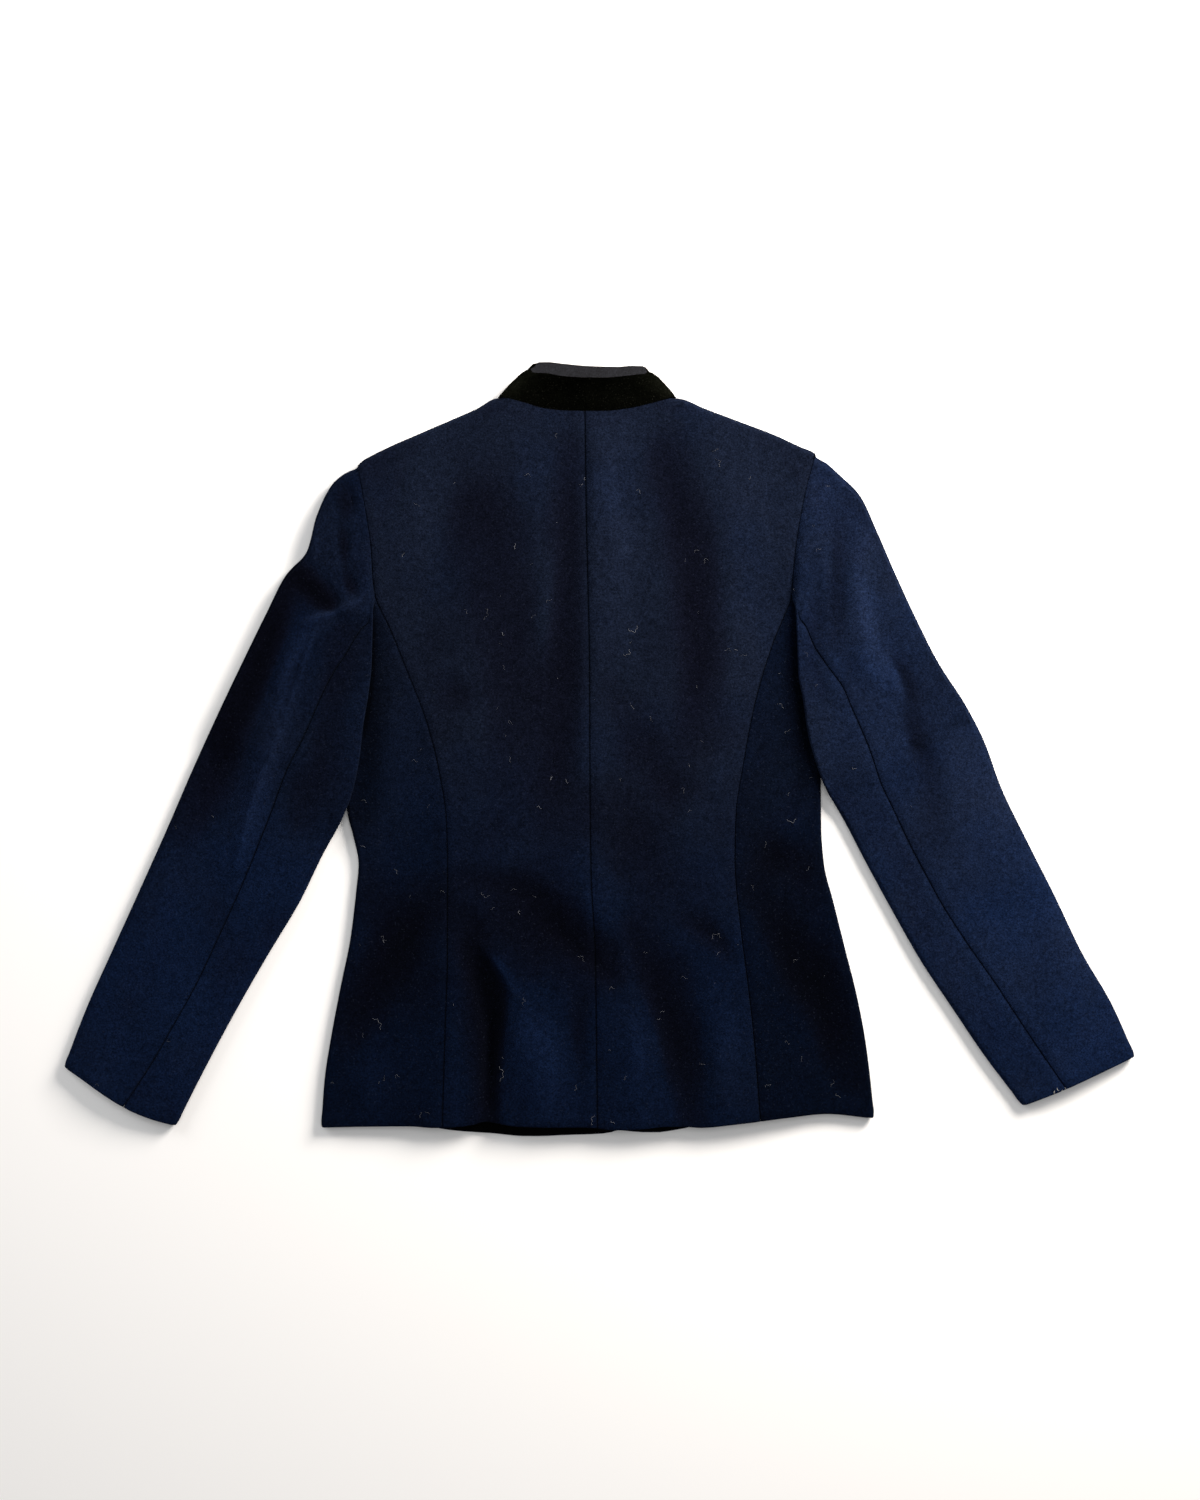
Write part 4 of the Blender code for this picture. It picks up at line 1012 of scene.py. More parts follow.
RIGHT = BodyHalf(
    name="right",
    inward=-1,
    top=((190.5, 261), (176.5, 267), (153.5, 277.5), (125.5, 288), (93.5, 300)) + NECK[:3:-1],
    neck_corner=5,
    back_seam=(
        (190.5, 261), (180, 220.5), (173, 177.5), (170.5, 148.5), (170, 137), (163, 118.5),
        (153.5, 95.5), (137, 41), (125.5, -18), (120, -55), (119, -95), (123.5, -152), (129, -196),
        (135, -247), (142, -335),
    ),
    front_seam=(
        (190.5, 261), (180, 220.5), (173, 177.5), (170.5, 148.5), (170, 137), (166, 90), (160, 20),
        (158, -60), (158, -110), (166, -200), (176, -335),
    ),
    side=(
        (194, 70), (196, 21), (195.5, -27), (196, -71), (198.5, -102), (206.5, -134), (217, -176),
        (227.5, -218), (235.5, -261), (240.5, -303), (243.5, -335),
    ),
    # painted shade: darker still than the left side panel, most of all near the hem
    side_nap=PaintedLight(0.56, 0.34, 0.4, 0.0),
    under_sleeve=creases((170, 126, 172, 40, 188, -60, 14, -3.8)),
)


# -------------------- the sleeves
SHELF = 9.3  # underside of the inner fold where it lies over the body's side panel
SHELF_TOP = 14.4
CLEAR_FOLD_TOP = 8.5
CORNER_HALF = 1.5  # half the width over which the under side drops to the floor
CLEAR_CORNER = 14.0  # the same place on the clear part of the sleeve, in from the fold
LEAST_FOLD = 2 * WALL + 0.8
FOLD_BLEND = 16.0  # creases fade out this near a sleeve's two folds
FLOOR_STEPS = 12  # columns on each half of a sleeve's hidden under side
INNER_FOLD_STEPS, DROP_STEPS = 9, 7  # round the inner fold, and from it down to the floor
UPPER_WIDTH, UNDER_WIDTH = 90.0, 50.0  # of the two pieces' tops, for their columns
DOME = 0.7  # below 1 the top is flatter than a half wave
NARROW_CORNER = 0.2  # how much of the corner's width is left at the armhole
CUFF_LEAN = 1.4  # above 1 the cuff hangs lowest nearer the inner fold
OUTER_FOLD_TURN, INNER_FOLD_TURN = 75, 70  # degrees to each side of level
EDGE_SINK = 0.8  # the sleeve's edge at the armhole lies this much under the body's
CUFF_ROWS, CUFF_BLEND = 2.2, 1.2  # in table rows: where the cuff's bow starts, and over how far


@dataclass(frozen=True)
class Sleeve:
    """One two-piece sleeve, in rows from the armhole to the cuff.

    Each row holds the outer fold (x, y), the inner fold (x, y), the point where the under side
    meets the floor beside the body (x, y), the elbow seam's share of the way from the outer to
    the inner fold, the height of the outer fold, and the crown above the two folds.
    """

    name: str
    body: BodyHalf
    first_clear_row: int  # from this row on, the inner fold is off the body
    cuff_bow: float  # how far the cuff's middle hangs below the line between its ends
    # painted light and shade, with painted grey sheen
    nap_and_painted_light: PaintedLight
    hidden_seam: float  # the elbow seam shows from this far down
    rows: tuple[tuple[float, ...], ...]

    def tube(self) -> tuple[Grid, int, int]:
        """The whole sleeve as one tube of outer points.

        Returns:
            The grid, the column where the under sleeve starts, and the column where its hidden
            under side starts.
        """
        table = np.array(self.rows, float)
        keys = np.arange(len(table))
        length = np.linalg.norm(np.diff(table[:, :2], axis=0), axis=1).sum()
        places = crowded(length, SLEEVE_SPACING) * (len(table) - 1)
        rows, masks = [], []
        for place in places:
            row = [float(smooth(keys, table[:, column], place)) for column in range(table.shape[1])]
            points, mask, split, hidden = self.section(row, place)
            rows.append(points)
            masks.append(mask)
        tube, masks = np.array(rows), np.array(masks)
        tube[..., 2] += cloth_relief(tube[..., 0], tube[..., 1]) * masks
        least = np.array([self.shelf(place)[0] for place in places])[:, None] + LEAST_FOLD
        settled = smoothstep(places / SLEEVE_SETTLE)[:, None] > 0.99
        raised = np.maximum(tube[..., 2], least)
        tube[..., 2] = np.where((masks > 0) & settled, raised, tube[..., 2])
        return tube, split, hidden

    def shelf(self, position: float) -> tuple[float, float]:
        """The inner fold's underside and top at this place down the sleeve."""
        cleared = float(smoothstep(position - (self.first_clear_row - 1)))
        top_cleared = float(smoothstep((position - self.first_clear_row + 1.5) / 1.5))
        return SHELF * (1 - cleared), blend(SHELF_TOP, CLEAR_FOLD_TOP, top_cleared)

    def section(self, row: list[float], position: float) -> tuple[np.ndarray, np.ndarray, int, int]:
        """One row of the tube.

        Args:
            row: the table's values here.
            position: which row of the table this is, with its fraction.

        Returns:
            The points, how much of the creases each takes, the first column of the under sleeve,
            and the first column of its hidden under side.
        """
        half = self.body
        outer, inner, floor_point = np.array(row[0:2]), np.array(row[2:4]), np.array(row[4:6])
        seam, outer_height, crown = row[6:9]
        low, fold_top = self.shelf(position)
        width = float(np.linalg.norm(inner - outer))
        toward = (inner - outer) / width
        settle = float(smoothstep(position / SLEEVE_SETTLE))
        across = np.array([half.inward * CORNER_HALF, 0.0]) * blend(NARROW_CORNER, 1.0, settle)
        if position >= self.first_clear_row - 1:
            floor_point = inner - toward * CLEAR_CORNER
            across = toward * CORNER_HALF
        outer_depth = min(outer_height / 2, SHOULDER_ROLL)
        armhole = half.armhole()
        lengths = np.concatenate([[0], np.cumsum(np.linalg.norm(np.diff(armhole, axis=0), axis=1))])

        def plan(distance: np.ndarray) -> np.ndarray:
            """Where the top sheet is, this far from the outer fold."""
            straight = outer + toward * distance[:, None]
            if settle >= 1.0:
                return straight
            y = blend(outer[1], inner[1], distance / width)
            on_seam = x_at(half.back_seam, np.maximum(y, half.armhole_end)) + half.inward * SEAM_GAP
            return blend(np.stack([on_seam, y], axis=1), straight, settle)

        def top(distance: np.ndarray) -> np.ndarray:
            """Points of the top sheet."""
            share = distance / width
            xy = plan(distance)
            dome = np.sin(math.pi * np.clip(share, 0, 1)) ** DOME
            z = blend(outer_height, fold_top, share) + crown * dome
            z = np.maximum(z, low + LEAST_FOLD)
            on_seam = smooth(HEIGHT_Y, EDGE_HEIGHT, xy[:, 1])
            return np.column_stack([xy, blend(on_seam, z, settle)])

        def bottom(share: np.ndarray) -> np.ndarray:
            """Points of the under side on the floor: 0 at the floor point, 1 at the outer fold."""
            start = floor_point - across
            xy = blend(start, outer + toward * outer_depth, share[:, None])
            if settle < 1.0:
                where = share * lengths[-1]
                on_line = np.column_stack([
                    np.interp(where, lengths, armhole[:, axis]) for axis in (0, 1)
                ])
                xy = blend(on_line, xy, settle)
            return np.column_stack([xy, np.zeros(len(share))])

        elbow = seam * width
        turn = np.radians(np.linspace(-OUTER_FOLD_TURN, OUTER_FOLD_TURN, FOLD_STEPS))
        edge_z = outer_height / 2
        outer_fold = np.column_stack([
            plan(outer_depth * (1 - np.cos(turn))), edge_z * (1 + np.sin(turn)),
        ])
        upper_shares = crowded(UPPER_WIDTH, SLEEVE_SPACING, start=False)
        upper_top = outer_depth + upper_shares * (elbow - HALF_GAP - outer_depth)
        edge_low = float(smooth(HEIGHT_Y, EDGE_HEIGHT, inner[1])) - EDGE_SINK
        settled_low = blend(edge_low, low, settle)
        inner_depth = (fold_top - low) / 2
        last = width - inner_depth
        under_shares = crowded(UNDER_WIDTH, SLEEVE_SPACING, end=False)
        under_top = elbow + HALF_GAP + under_shares * (last - elbow - HALF_GAP)
        floor_shares = np.linspace(0.5 + HALF_GAP / width, 1.0, FLOOR_STEPS)
        upper = [bottom(floor_shares), outer_fold, top(upper_top)]
        under = [top(under_top)]
        fold_z = under[0][-1, 2]
        turn = np.radians(np.linspace(INNER_FOLD_TURN, -INNER_FOLD_TURN, INNER_FOLD_STEPS))
        middle, reach = (fold_z + settled_low) / 2, (fold_z - settled_low) / 2
        under.append(np.column_stack([
            plan(last + inner_depth * np.cos(turn)), middle + reach * np.sin(turn),
        ]))
        share = np.linspace(0, 1, DROP_STEPS)[:, None]
        run = blend(plan(np.array([last]))[0], floor_point + across, share)
        under.append(np.column_stack([run, np.full(DROP_STEPS, settled_low)]))
        under.append(bottom(np.linspace(0.0, 0.5 - HALF_GAP / width, FLOOR_STEPS)))
        points = np.concatenate(upper + under)
        mask = np.zeros(len(points))
        split = sum(len(part) for part in upper)
        for first, distance in ((FLOOR_STEPS + FOLD_STEPS, upper_top), (split, under_top)):
            near = smoothstep(np.minimum(distance, width - distance) / FOLD_BLEND)
            mask[first : first + len(distance)] = near * settle + 1e-9
        across_share = (points[:, :2] - outer) @ toward / width
        near_cuff = smoothstep((position - len(self.rows) + CUFF_ROWS) / CUFF_BLEND)
        bow = self.cuff_bow * float(near_cuff)
        down = np.array([toward[1], -toward[0]]) * (1 if toward[0] > 0 else -1)
        hang = bow * np.sin(math.pi * np.clip(across_share, 0, 1) ** CUFF_LEAN)
        points[:, :2] += down * hang[:, None]
        return points, mask, split, split + len(under_top)

    def build(self) -> list[Part]:
        """Makes the upper and the under sleeve, sewn together at the elbow and the forearm."""
        tube, split, hidden = self.tube()
        wrapped = np.concatenate([tube[:, -2:-1], tube, tube[:, 1:2]], axis=1)
        normals = normals_of(wrapped)[:, 1:-1] * self.body.inward
        # at the underarm the tube turns back on itself, so its first rows borrow later normals
        for row in range(len(EDGE_STEPS)):
            normals[row, hidden:] = normals[len(EDGE_STEPS), hidden:]
            normals[row, :FLOOR_STEPS] = normals[len(EDGE_STEPS), :FLOOR_STEPS]
        shared = unit(normals[:, split - 1] + normals[:, split])
        normals[:, split - 1] = normals[:, split] = shared
        # the more the cloth faces the floor, the less there is for it to go under
        upward = np.clip(1.2 + normals[0, :, 2:], 0, 1)
        inward = self.body.inward
        tuck = upward * [inward * TUCK, 0.0, -TUCK / 2] + [inward * LEAST_TUCK, 0.0, 0.0]
        made = []
        for part, first, last, seam_edge in (
            ("upper", 0, split, "last_column"), ("under", split, tube.shape[1], "first_column"),
        ):
            piece = ClothPiece(
                f"sleeve_{self.name}_{part}", NAVY_WOOL, tube[:, first:last], WALL,
                rests_on=(f"side_{self.body.name}",), turned=("first_row", "last_row", seam_edge),
                nap_and_painted_light=self.nap_and_painted_light, hidden_seam=self.hidden_seam, seam_shade=SLEEVE_SEAM_SHADE,
                tuck=tuck[first:last],
            )
            made.append(piece.build(normals[:, first:last], flip=self.body.inward < 0))
        return made


LEFT_SLEEVE = Sleeve(
    name="left",
    body=LEFT,
    first_clear_row=8,
    cuff_bow=6.0,
    # painted shade on the upper sleeve and painted light on the lower sleeve, with some painted
    # grey sheen
    nap_and_painted_light=PaintedLight(0.72, 1.1, 0.4, 0.0),
    hidden_seam=30.0,
    rows=(
        (-213.5, 250.5, -199, 136.5, -222.5, 58, 0.965, 15.5, 0.0),
        (-234.5, 235.5, -199.8, 107, -223.5, 43, 0.932, 12.5, 1.5),
        (-249.5, 207, -200.5, 76, -224.5, 30, 0.786, 10.5, 3.0),
        (-258.5, 175, -203.5, 48, -226, 13, 0.686, 9.5, 4.0),
        (-277, 154, -208, 21, -227, -5, 0.638, 9.0, 4.5),
        (-295, 119, -211, -6, -228, -22, 0.592, 8.5, 5.0),
        (-315.5, 77, -217, -36, -229, -44, 0.57, 8.5, 5.0),
        (-335.5, 35, -226, -60, -238, -58, 0.555, 8.5, 5.0),
        (-360.5, -20, -244, -92, 0, 0, 0.59, 8.5, 4.5),
        (-382.5, -71, -264.5, -134, 0, 0, 0.61, 8.5, 4.5),
        (-406, -123.5, -292, -180, 0, 0, 0.64, 8.5, 4.5),
        (-430, -176.5, -318, -225, 0, 0, 0.66, 8.5, 4.0),
        (-453.5, -229, -345, -275, 0, 0, 0.64, 8.5, 4.0),
        (-473, -280, -374, -332, 0, 0, 0.57, 8.5, 4.0),
    ),
)
RIGHT_SLEEVE = Sleeve(
    name="right",
    body=RIGHT,
    first_clear_row=8,
    cuff_bow=1.0,
    # painted light: paler all over, most near the cuff, with painted grey sheen and less painted
    # shade colour in its troughs
    nap_and_painted_light=PaintedLight(1.28, 1.42, 0.6, 0.2, 0.35),
    hidden_seam=29.0,
    rows=(
        (190.5, 261, 171, 136.5, 197, 71, 0.965, 15.5, 0.0),
        (211.5, 242.5, 173, 114, 198, 57, 0.957, 12.5, 1.5),
        (230, 224, 174, 89.5, 198.5, 43, 0.866, 10.5, 3.0),
        (245, 192.5, 175, 65.5, 199, 30, 0.803, 9.5, 4.0),
        (260, 158, 179, 43.5, 199.5, 17, 0.74, 9.0, 4.5),
        (278, 119, 183.5, 13, 200, -1, 0.655, 8.5, 5.0),
        (299.2, 77, 189.5, -9, 200.5, -14, 0.648, 8.5, 5.0),
        (323, 40, 197.5, -31, 209, -28, 0.665, 8.5, 5.0),
        (339.5, 8, 214.5, -60, 0, 0, 0.70, 8.5, 4.5),
        (355, -34, 236.5, -102, 0, 0, 0.70, 8.5, 4.5),
        (378, -81.5, 260, -145, 0, 0, 0.70, 8.5, 4.5),
        (401.5, -128, 284, -187, 0, 0, 0.68, 8.5, 4.5),
        (427, -181, 312, -229, 0, 0, 0.65, 8.5, 4.0),
        (451, -222, 339, -269, 0, 0, 0.645, 8.5, 4.0),
        (473, -270.5, 373.5, -314.5, 0, 0, 0.63, 8.5, 4.0),
    ),
)


# -------------------- the collar
@dataclass(frozen=True)
class Collar:
    """The velvet stand and its smooth inner layer, pressed flat with the neck open at the top."""

    lower_left: tuple[float, float] = (-89.5, 309.5)
    lower_right: tuple[float, float] = (67.5, 309.5)
    upper_left: tuple[float, float] = (-65, 334.2)
    upper_right: tuple[float, float] = (46.5, 332)
    back_top: Line = (
        (-64, 334.5), (-60, 331.5), (-46, 329.2), (-32, 326), (-13, 324.3), (2, 324.3), (16, 325.5),
        (30, 328), (42, 330.5), (45.5, 332.5),
    )
    front_top: Line = (
        (-65, 335.5), (-61, 340), (-56, 342.3), (-46, 342.6), (-33, 341.2), (-8, 339), (16, 338.4),
        (27, 339.2), (39, 339), (45.5, 335),
    )
    fold_depth: float = 6.0
    fold_turn: float = 72.0  # degrees to each side of level
    fold_steps: int = 9
    back_steps: int = 72
    front_steps: tuple[int, int] = (16, 12)  # to the left and the right of the centre front
    spacing: float = 1.2  # between rows
    overlap: float = 0.1  # of its two ends at the centre front
    bulge: float = 1.5
    edge_height: float = 19.0
    rise: float = 9.0  # the middle of its free edge stands this much higher
    # painted sheen at the velvet's two ends, painted shade along the middle of its top edge, and a
    # little painted light near the neck seam
    painted_pile_sheen_and_shade: tuple[Crease, ...] = creases(
        (-86, 311, -75, 321, -66, 332, 9, 13.0), (66, 311, 56, 320, 48, 329, 9, 13.0),
        (-50, 326, -10, 321, 28, 325, 6, -3.0), (-60, 310, -20, 303, 40, 307, 5, 1.6),
    )

    def grid(self) -> Grid:
        """Outer points: columns from the centre front round both folds, rows from the neck up."""
        turns = np.radians(np.linspace(-self.fold_turn, self.fold_turn, self.fold_steps))
        left_steps, right_steps = self.front_steps
        rows = []
        for level in crowded(COLLAR_HEIGHT, self.spacing):
            bulge = self.bulge * math.sin(math.pi * level)
            left = blend(self.lower_left[0], self.upper_left[0], level) - bulge
            right = blend(self.lower_right[0], self.upper_right[0], level) + bulge
            clear = 2 * SEAM_GAP * (1 - level)
            left_y = blend(self.lower_left[1], self.upper_left[1], level) + clear
            right_y = blend(self.lower_right[1], self.upper_right[1], level) + clear
            height = blend(NECK_HEIGHT, self.edge_height, level)
            flat = right - left - 2 * self.fold_depth
            slit = (CENTRE_FRONT_X - left - self.fold_depth) / flat
            gap = -self.overlap / flat
            runs = [
                self.run(shares, level, left, right, None if on_floor else height)
                for shares, on_floor in (
                    (np.linspace(slit - gap, 0, left_steps), True),
                    (np.linspace(0, 1, self.back_steps), False),
                    (np.linspace(1, slit + gap, right_steps), True),
                )
            ]
            left_fold = fold_points(left, left_y, 1, self.fold_depth, height / 2, turns)
            right_fold = fold_points(right, right_y, -1, self.fold_depth, height / 2, turns[::-1])
            rows.append(np.concatenate([runs[0], left_fold, runs[1], right_fold, runs[2]]))
        return np.array(rows)

    def run(
        self, share: np.ndarray, level: float, left: float, right: float, height: float | None
    ) -> np.ndarray:
        """Points of the collar's flat part.

        Args:
            share: from the left fold to the right.
            level: from the neck seam to the free edge.
            left: x of the left fold here.
            right: x of the right fold here.
            height: of the back's part here, or None for the front, which lies on the floor.

        Returns:
            One point for each share.
        """
        depth = self.fold_depth
        x = blend(left + depth, right - depth, share)
        low_x = blend(self.lower_left[0] + depth, self.lower_right[0] - depth, share)
        up_x = blend(self.upper_left[0] + depth, self.upper_right[0] - depth, share)
        on_floor = height is None
        up_line = self.front_top if on_floor else self.back_top
        y = blend(y_at(NECK, low_x) + 2 * SEAM_GAP, y_at(up_line, up_x), level)
        rise = self.rise * level * np.sin(math.pi * np.clip(share, 0, 1)) ** 0.8
        dent = COLLAR_DENT.at(x, y) * math.sin(math.pi * level)
        return row_of(x, y, 0.0 if on_floor else height + rise + dent)

    def build(self) -> list[Part]:
        """Makes the velvet stand, and the smooth layer inside it."""
        grid = self.grid()
        normals = -normals_of(grid)
        made = []
        for name, finish, set_in, wall in (
            ("collar_stand", BLACK_VELVET, 0.0, VELVET_WALL),
            ("collar_facing", COLLAR_LINING, VELVET_WALL + 2 * SEAM_GAP, FACING_WALL),
        ):
            outer = grid - normals * set_in
            outer[0, :, 1] = grid[0, :, 1]
            piece = ClothPiece(
                name, finish, outer[::-1], wall, rests_on=("collar_stand",) if set_in else (),
                turned=("first_row",), painted_light_and_shade=() if set_in else self.painted_pile_sheen_and_shade,
            )
            made.append(piece.build(normals=normals[::-1]))
        return made


@dataclass(frozen=True)
class HemFacing:
    """The dark facing on the inner side of a front, which shows below the back's hem."""

    name: str
    start_x: float
    end_x: float
    column_spacing: float = 4.0
    row_spacing: float = 2.5

    def build(self) -> Part:
        """Makes the strip, a little uneven, with its lower edge turned."""
        width = self.end_x - self.start_x
        xs = self.start_x + crowded(width, self.column_spacing) * width
        hem_y = y_at(FRONT_HEM, xs) + STRIP_SET_BACK
        rows = []
        for up in crowded(STRIP_DEPTH, self.row_spacing)[::-1] * STRIP_DEPTH:
            z = WALL + SEAM_GAP + STRIP_WALL + STRIP_RIPPLE.at(xs, hem_y + up)
            rows.append(row_of(xs, hem_y + up, z))
        outer = np.array(rows)
        return ClothPiece(
            self.name, DARK_LINING, outer, STRIP_WALL,
            rests_on=(self.name.replace("hem_facing", "front"),), turned=("last_row",),
        ).build(normals_of(outer))


LEFT_HEM_FACING = HemFacing("hem_facing_left", -156, CENTRE_FRONT_X - HALF_GAP)
RIGHT_HEM_FACING = HemFacing("hem_facing_right", CENTRE_FRONT_X + HALF_GAP, 80)


# -------------------- the lint
@dataclass(frozen=True)
class Fibre:
    """One loose fibre or thread on the cloth, seen from above."""

    x: float
    y: float
    length: float
    curl: float  # how far it turns along its length, in radians
    turn: float  # which way it starts, in radians
    radius: float = 0.065


def fibres(*rows: tuple[float, ...]) -> tuple[Fibre, ...]:
    """A fibre for each row of its values."""
    return tuple(Fibre(*row) for row in rows)


SEEN_FIBRES = fibres(
    (-43.5, -27, 4.5, 1.2, 0.4, 0.29),
    (26, 106, 15, 3.6, 4.9, 0.11), (26, 88, 12, -3.0, 5.2, 0.11),
    (-102, 114, 14, 2.2, 0.3), (-74, 176, 6, 1.0, 1.2, 0.14),
    (-84, 100, 5, 0.8, 1.9, 0.14), (-12.5, 236, 4, 0.6, 1.5, 0.15),
    (105, 248, 11, 2.6, 0.8), (116, 86, 9, 1.8, 2.2), (32, 227, 8, -2.0, 0.2),
    (96, 167, 9, 2.4, 2.9), (84, 173, 7, -1.4, 1.1), (28, 41, 9, 2.0, 4.4),
    (46, 25, 6, 1.0, 1.6), (74, -39, 8, 2.4, 0.9), (-51, -52, 6, 1.2, 2.4, 0.12),
    (164, 14, 8, -1.6, 1.3), (107, -166, 16, 3.4, 1.7), (103, -181, 6, 1.0, 0.4),
    (-70, -142, 6, 1.2, 4.2, 0.12), (-14, -187, 10, 2.6, 1.2), (13, -210, 7, 1.4, 2.8),
    (88, -276, 7, 1.8, 5.4), (-88, -292, 18, 2.4, 0.5, 0.11), (-176, -288, 8, 3.0, 2.2),
    (-158, -324, 7, 1.0, 0.9), (-6, -330, 12, -1.5, 2.1, 0.10), (209, -303, 8, 2.2, 4.6),
    (10, -326, 6, 0.5, 5.3, 0.09),
    (178, -275, 6, 1.4, 1.0), (166, -61, 13, 3.0, 4.9, 0.11), (146, -87, 8, 1.6, 0.8),
    (136, -124, 7, 1.8, 1.3), (175, -186, 6, 1.2, 3.2), (-191, -170, 8, 2.4, 0.9),
    (-193, -247, 17, 2.2, 1.2, 0.10), (-103, -125, 13, 2.8, 4.5), (-136, -126, 6, 1.2, 2.6),
    (-174, 169, 6, 1.0, 0.6, 0.12), (-60, 239, 9, 1.6, 2.2), (-37, 277, 6, 1.2, 4.0),
)
CUFF_TACK = fibres(
    (400, -303, 3.6, 0.5, 0.9, 0.30), (403, -305, 3.2, -0.4, 2.6, 0.3),
    (406, -301, 2.6, 0.3, 0.2, 0.26), (404, -300, 4.2, 0.9, 2.0, 0.18),
)


@dataclass(frozen=True)
class Lint:
    """Loose pale fibres caught on the wool, joined as one piece."""

    name: str
    fibres: tuple[Fibre, ...]
    colour: Colour
    strays: int = 0
    lift: float = 0.12  # above the nap

    def build(self, cloth: list[Part]) -> Part:
        """Lays every fibre on the cloth below it.

        Args:
            cloth: the pieces that carry the fibres.

        Returns:
            The joined mesh.
        """
        trees = [BVHTree.FromPolygons(
            [vertex.co for vertex in piece.data.vertices],
            [polygon.vertices for polygon in piece.data.polygons],
        ) for piece in cloth]
        bpy.ops.object.select_all(action="DESELECT")
        curve = bpy.data.curves.new(self.name, "CURVE")
        curve.dimensions, curve.bevel_depth, curve.bevel_resolution = "3D", MM, 0
        for fibre in self.fibres + self.drawn():
            self.lay(curve, fibre, trees)
        piece = new_object(self.name, curve)
        piece.select_set(True)
        bpy.context.view_layer.objects.active = piece
        bpy.ops.object.convert(target="MESH")
        piece = bpy.context.object
        piece.data.materials.clear()
        piece.data.materials.append(self.material())
        piece.data.shade_smooth()
        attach(piece, "root")
        log.info("%s: %d faces", self.name, len(piece.data.polygons))
        return piece

    def drawn(self) -> tuple[Fibre, ...]:
        """Many small fibres in seeded random places."""
        draw = np.random.default_rng(LINT_SEED)
        made = []
        for _ in range(self.strays):
            ranges = BODY_RANGE if draw.uniform() < STRAYS_ON_BODY else WHOLE_RANGE
            x, y = (draw.uniform(*span) for span in ranges)
            made.append(Fibre(
                x, y, draw.uniform(1.5, 9), draw.normal(0, 1.4), draw.uniform(0, 2 * math.pi),
                draw.uniform(0.035, 0.075),
            ))
        return tuple(made)

    def lay(self, curve: bpy.types.Curve, fibre: Fibre, trees: list[BVHTree]) -> None:
        """Adds a fibre to the curve, on the cloth below it."""
        length = fibre.length * FIBRE_GAIN
        count = max(5, round(length / 0.9))
        x, y, places = fibre.x, fibre.y, []
        for share in np.linspace(0, 1, count):
            top = None
            for tree in trees:
                hit = tree.ray_cast(Vector((x * MM, y * MM, 0.1)), Vector((0, 0, -1)))[0]
                if hit is not None and (top is None or hit.z > top):
                    top = hit.z
            if top is None:
                return
            places.append((x * MM, y * MM, top + (self.lift + fibre.radius) * MM))
            heading = fibre.turn + fibre.curl * share + 0.8 * math.sin(length * share + fibre.turn)
            x += math.cos(heading) * length / count
            y += math.sin(heading) * length / count
        spline = curve.splines.new("POLY")
        spline.points.add(count - 1)
        for index, (point, place) in enumerate(zip(spline.points, places)):
            point.co = (*place, 1.0)
            point.radius = fibre.radius * (0.45 if index in (0, count - 1) else 1.0)

    def material(self) -> bpy.types.Material:
        """Pale matt fibre, a little uneven along its length."""
        made, nodes, shader = new_material(
            f"{self.name}_fibre", {"Roughness": 0.9, "Specular IOR Level": 0.1}
        )
        dark = tuple(0.35 * part for part in self.colour)
        tint = nodes.mix(nodes.noise(1 / 160, 2.0), dark, self.colour)
        nodes.feed(shader, {"Base Color": tint})
        return made


# -------------------- the studio
@dataclass(frozen=True)
class Lamp:
    """A soft square lamp that looks at the jacket's middle."""

    name: str
    place: tuple[float, float, float]
    size: float
    power: float
    colour: Colour = (1.0, 1.0, 1.0)

    def build(self) -> None:
        """Hangs the lamp."""
        light = bpy.data.lights.new(self.name, "AREA")
        light.color, light.shape = self.colour, "SQUARE"
        light.size, light.energy = self.size, self.power
        lamp = new_object(self.name, light)
        lamp.location = self.place
        lamp.rotation_euler = (-Vector(self.place)).to_track_quat("-Z", "Y").to_euler()


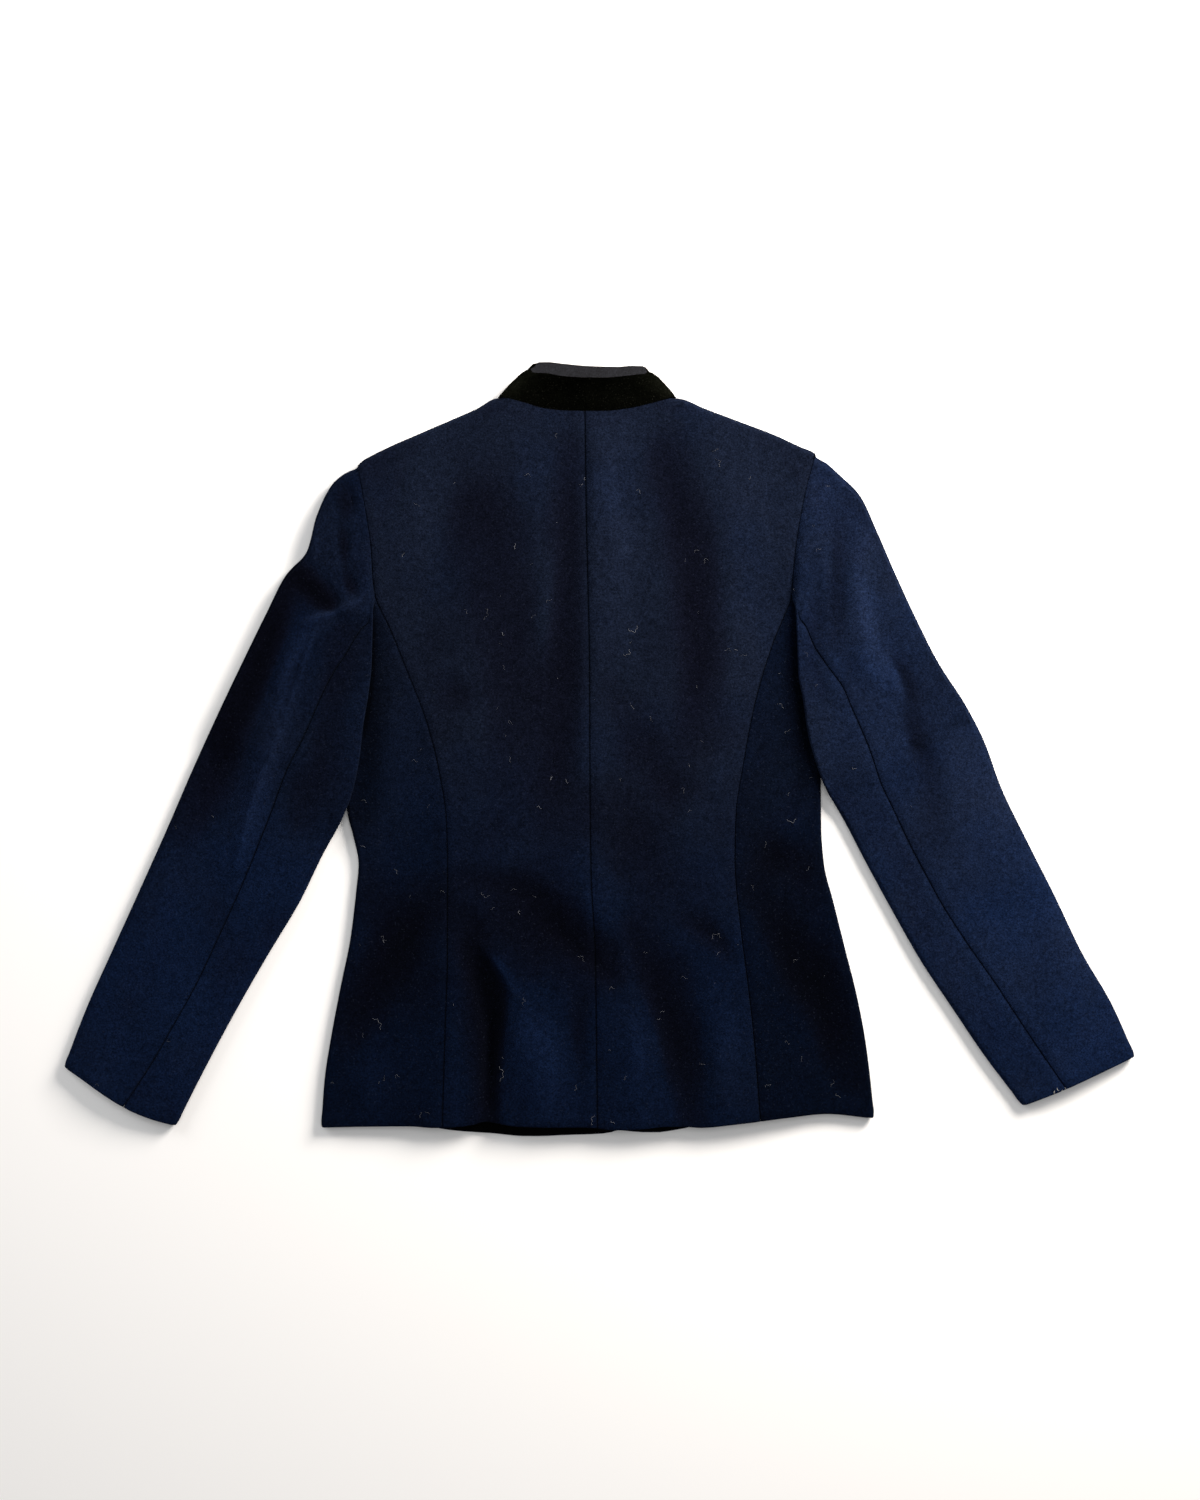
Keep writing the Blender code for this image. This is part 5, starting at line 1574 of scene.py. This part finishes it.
@dataclass(frozen=True)
class Studio:
    """A pale floor, soft lamps and the camera straight above."""

    floor_size: float = 9.0
    floor_z: float = -0.0003
    floor_colour: Colour = (0.93, 0.93, 0.93)
    camera_height: float = 1.833
    jacket_height: float = 0.012
    aim: tuple[float, float] = (0.0004, -0.0004)
    lens: float = 50.0
    sensor: float = 36.0
    world_strength: float = 0.16
    lamps: tuple[Lamp, ...] = (
        Lamp("overhead", (0.1, 0.4, 3.2), 2.6, 36.0),
        Lamp("upper_right", (1.0, 0.95, 0.75), 0.7, 60.0, (1.0, 0.93, 0.86)),
        Lamp("upper_left", (-1.9, 1.5, 1.3), 1.2, 22.0),
    )

    def build(self) -> None:
        """Makes the floor, the lamps, the world's light and the camera."""
        self.floor()
        for lamp in self.lamps:
            lamp.build()
        world = bpy.data.worlds.new("studio")
        world.use_nodes = True
        Nodes(world.node_tree).feed(world.node_tree.nodes["Background"], {
            "Color": (1.0, 1.0, 1.0, 1.0), "Strength": self.world_strength,
        })
        scene = bpy.context.scene
        scene.world = world
        scene.view_settings.view_transform = "Standard"
        lens = bpy.data.cameras.new("camera")
        lens.lens, lens.sensor_width, lens.clip_start = self.lens, self.sensor, 0.01
        scene.camera = new_object("camera", lens)
        scene.camera.location = (*self.aim, self.camera_height + self.jacket_height)

    def floor(self) -> None:
        """A plain pale floor, just under the jacket."""
        bpy.ops.object.select_all(action="DESELECT")
        bpy.ops.mesh.primitive_plane_add(size=self.floor_size, location=(0, 0, self.floor_z))
        floor = bpy.context.object
        floor.name = "floor"
        floor.data.materials.append(new_material("floor_paper", {
            "Base Color": (*self.floor_colour, 1.0), "Roughness": 0.9, "Specular IOR Level": 0.1,
        })[0])


def main() -> None:
    """Builds the jacket piece by piece, then the studio."""
    cloth: list[Part] = []
    for part in (LEFT, RIGHT, LEFT_SLEEVE, RIGHT_SLEEVE):
        cloth += part.build()
    Lint("loose_lint", SEEN_FIBRES, (0.20, 0.21, 0.24), strays=90).build(cloth)
    Lint("cuff_tack", CUFF_TACK, (0.55, 0.55, 0.52)).build(cloth)
    Collar().build()
    for facing in (LEFT_HEM_FACING, RIGHT_HEM_FACING):
        facing.build()
    Studio().build()


if __name__ == "__main__":
    main()
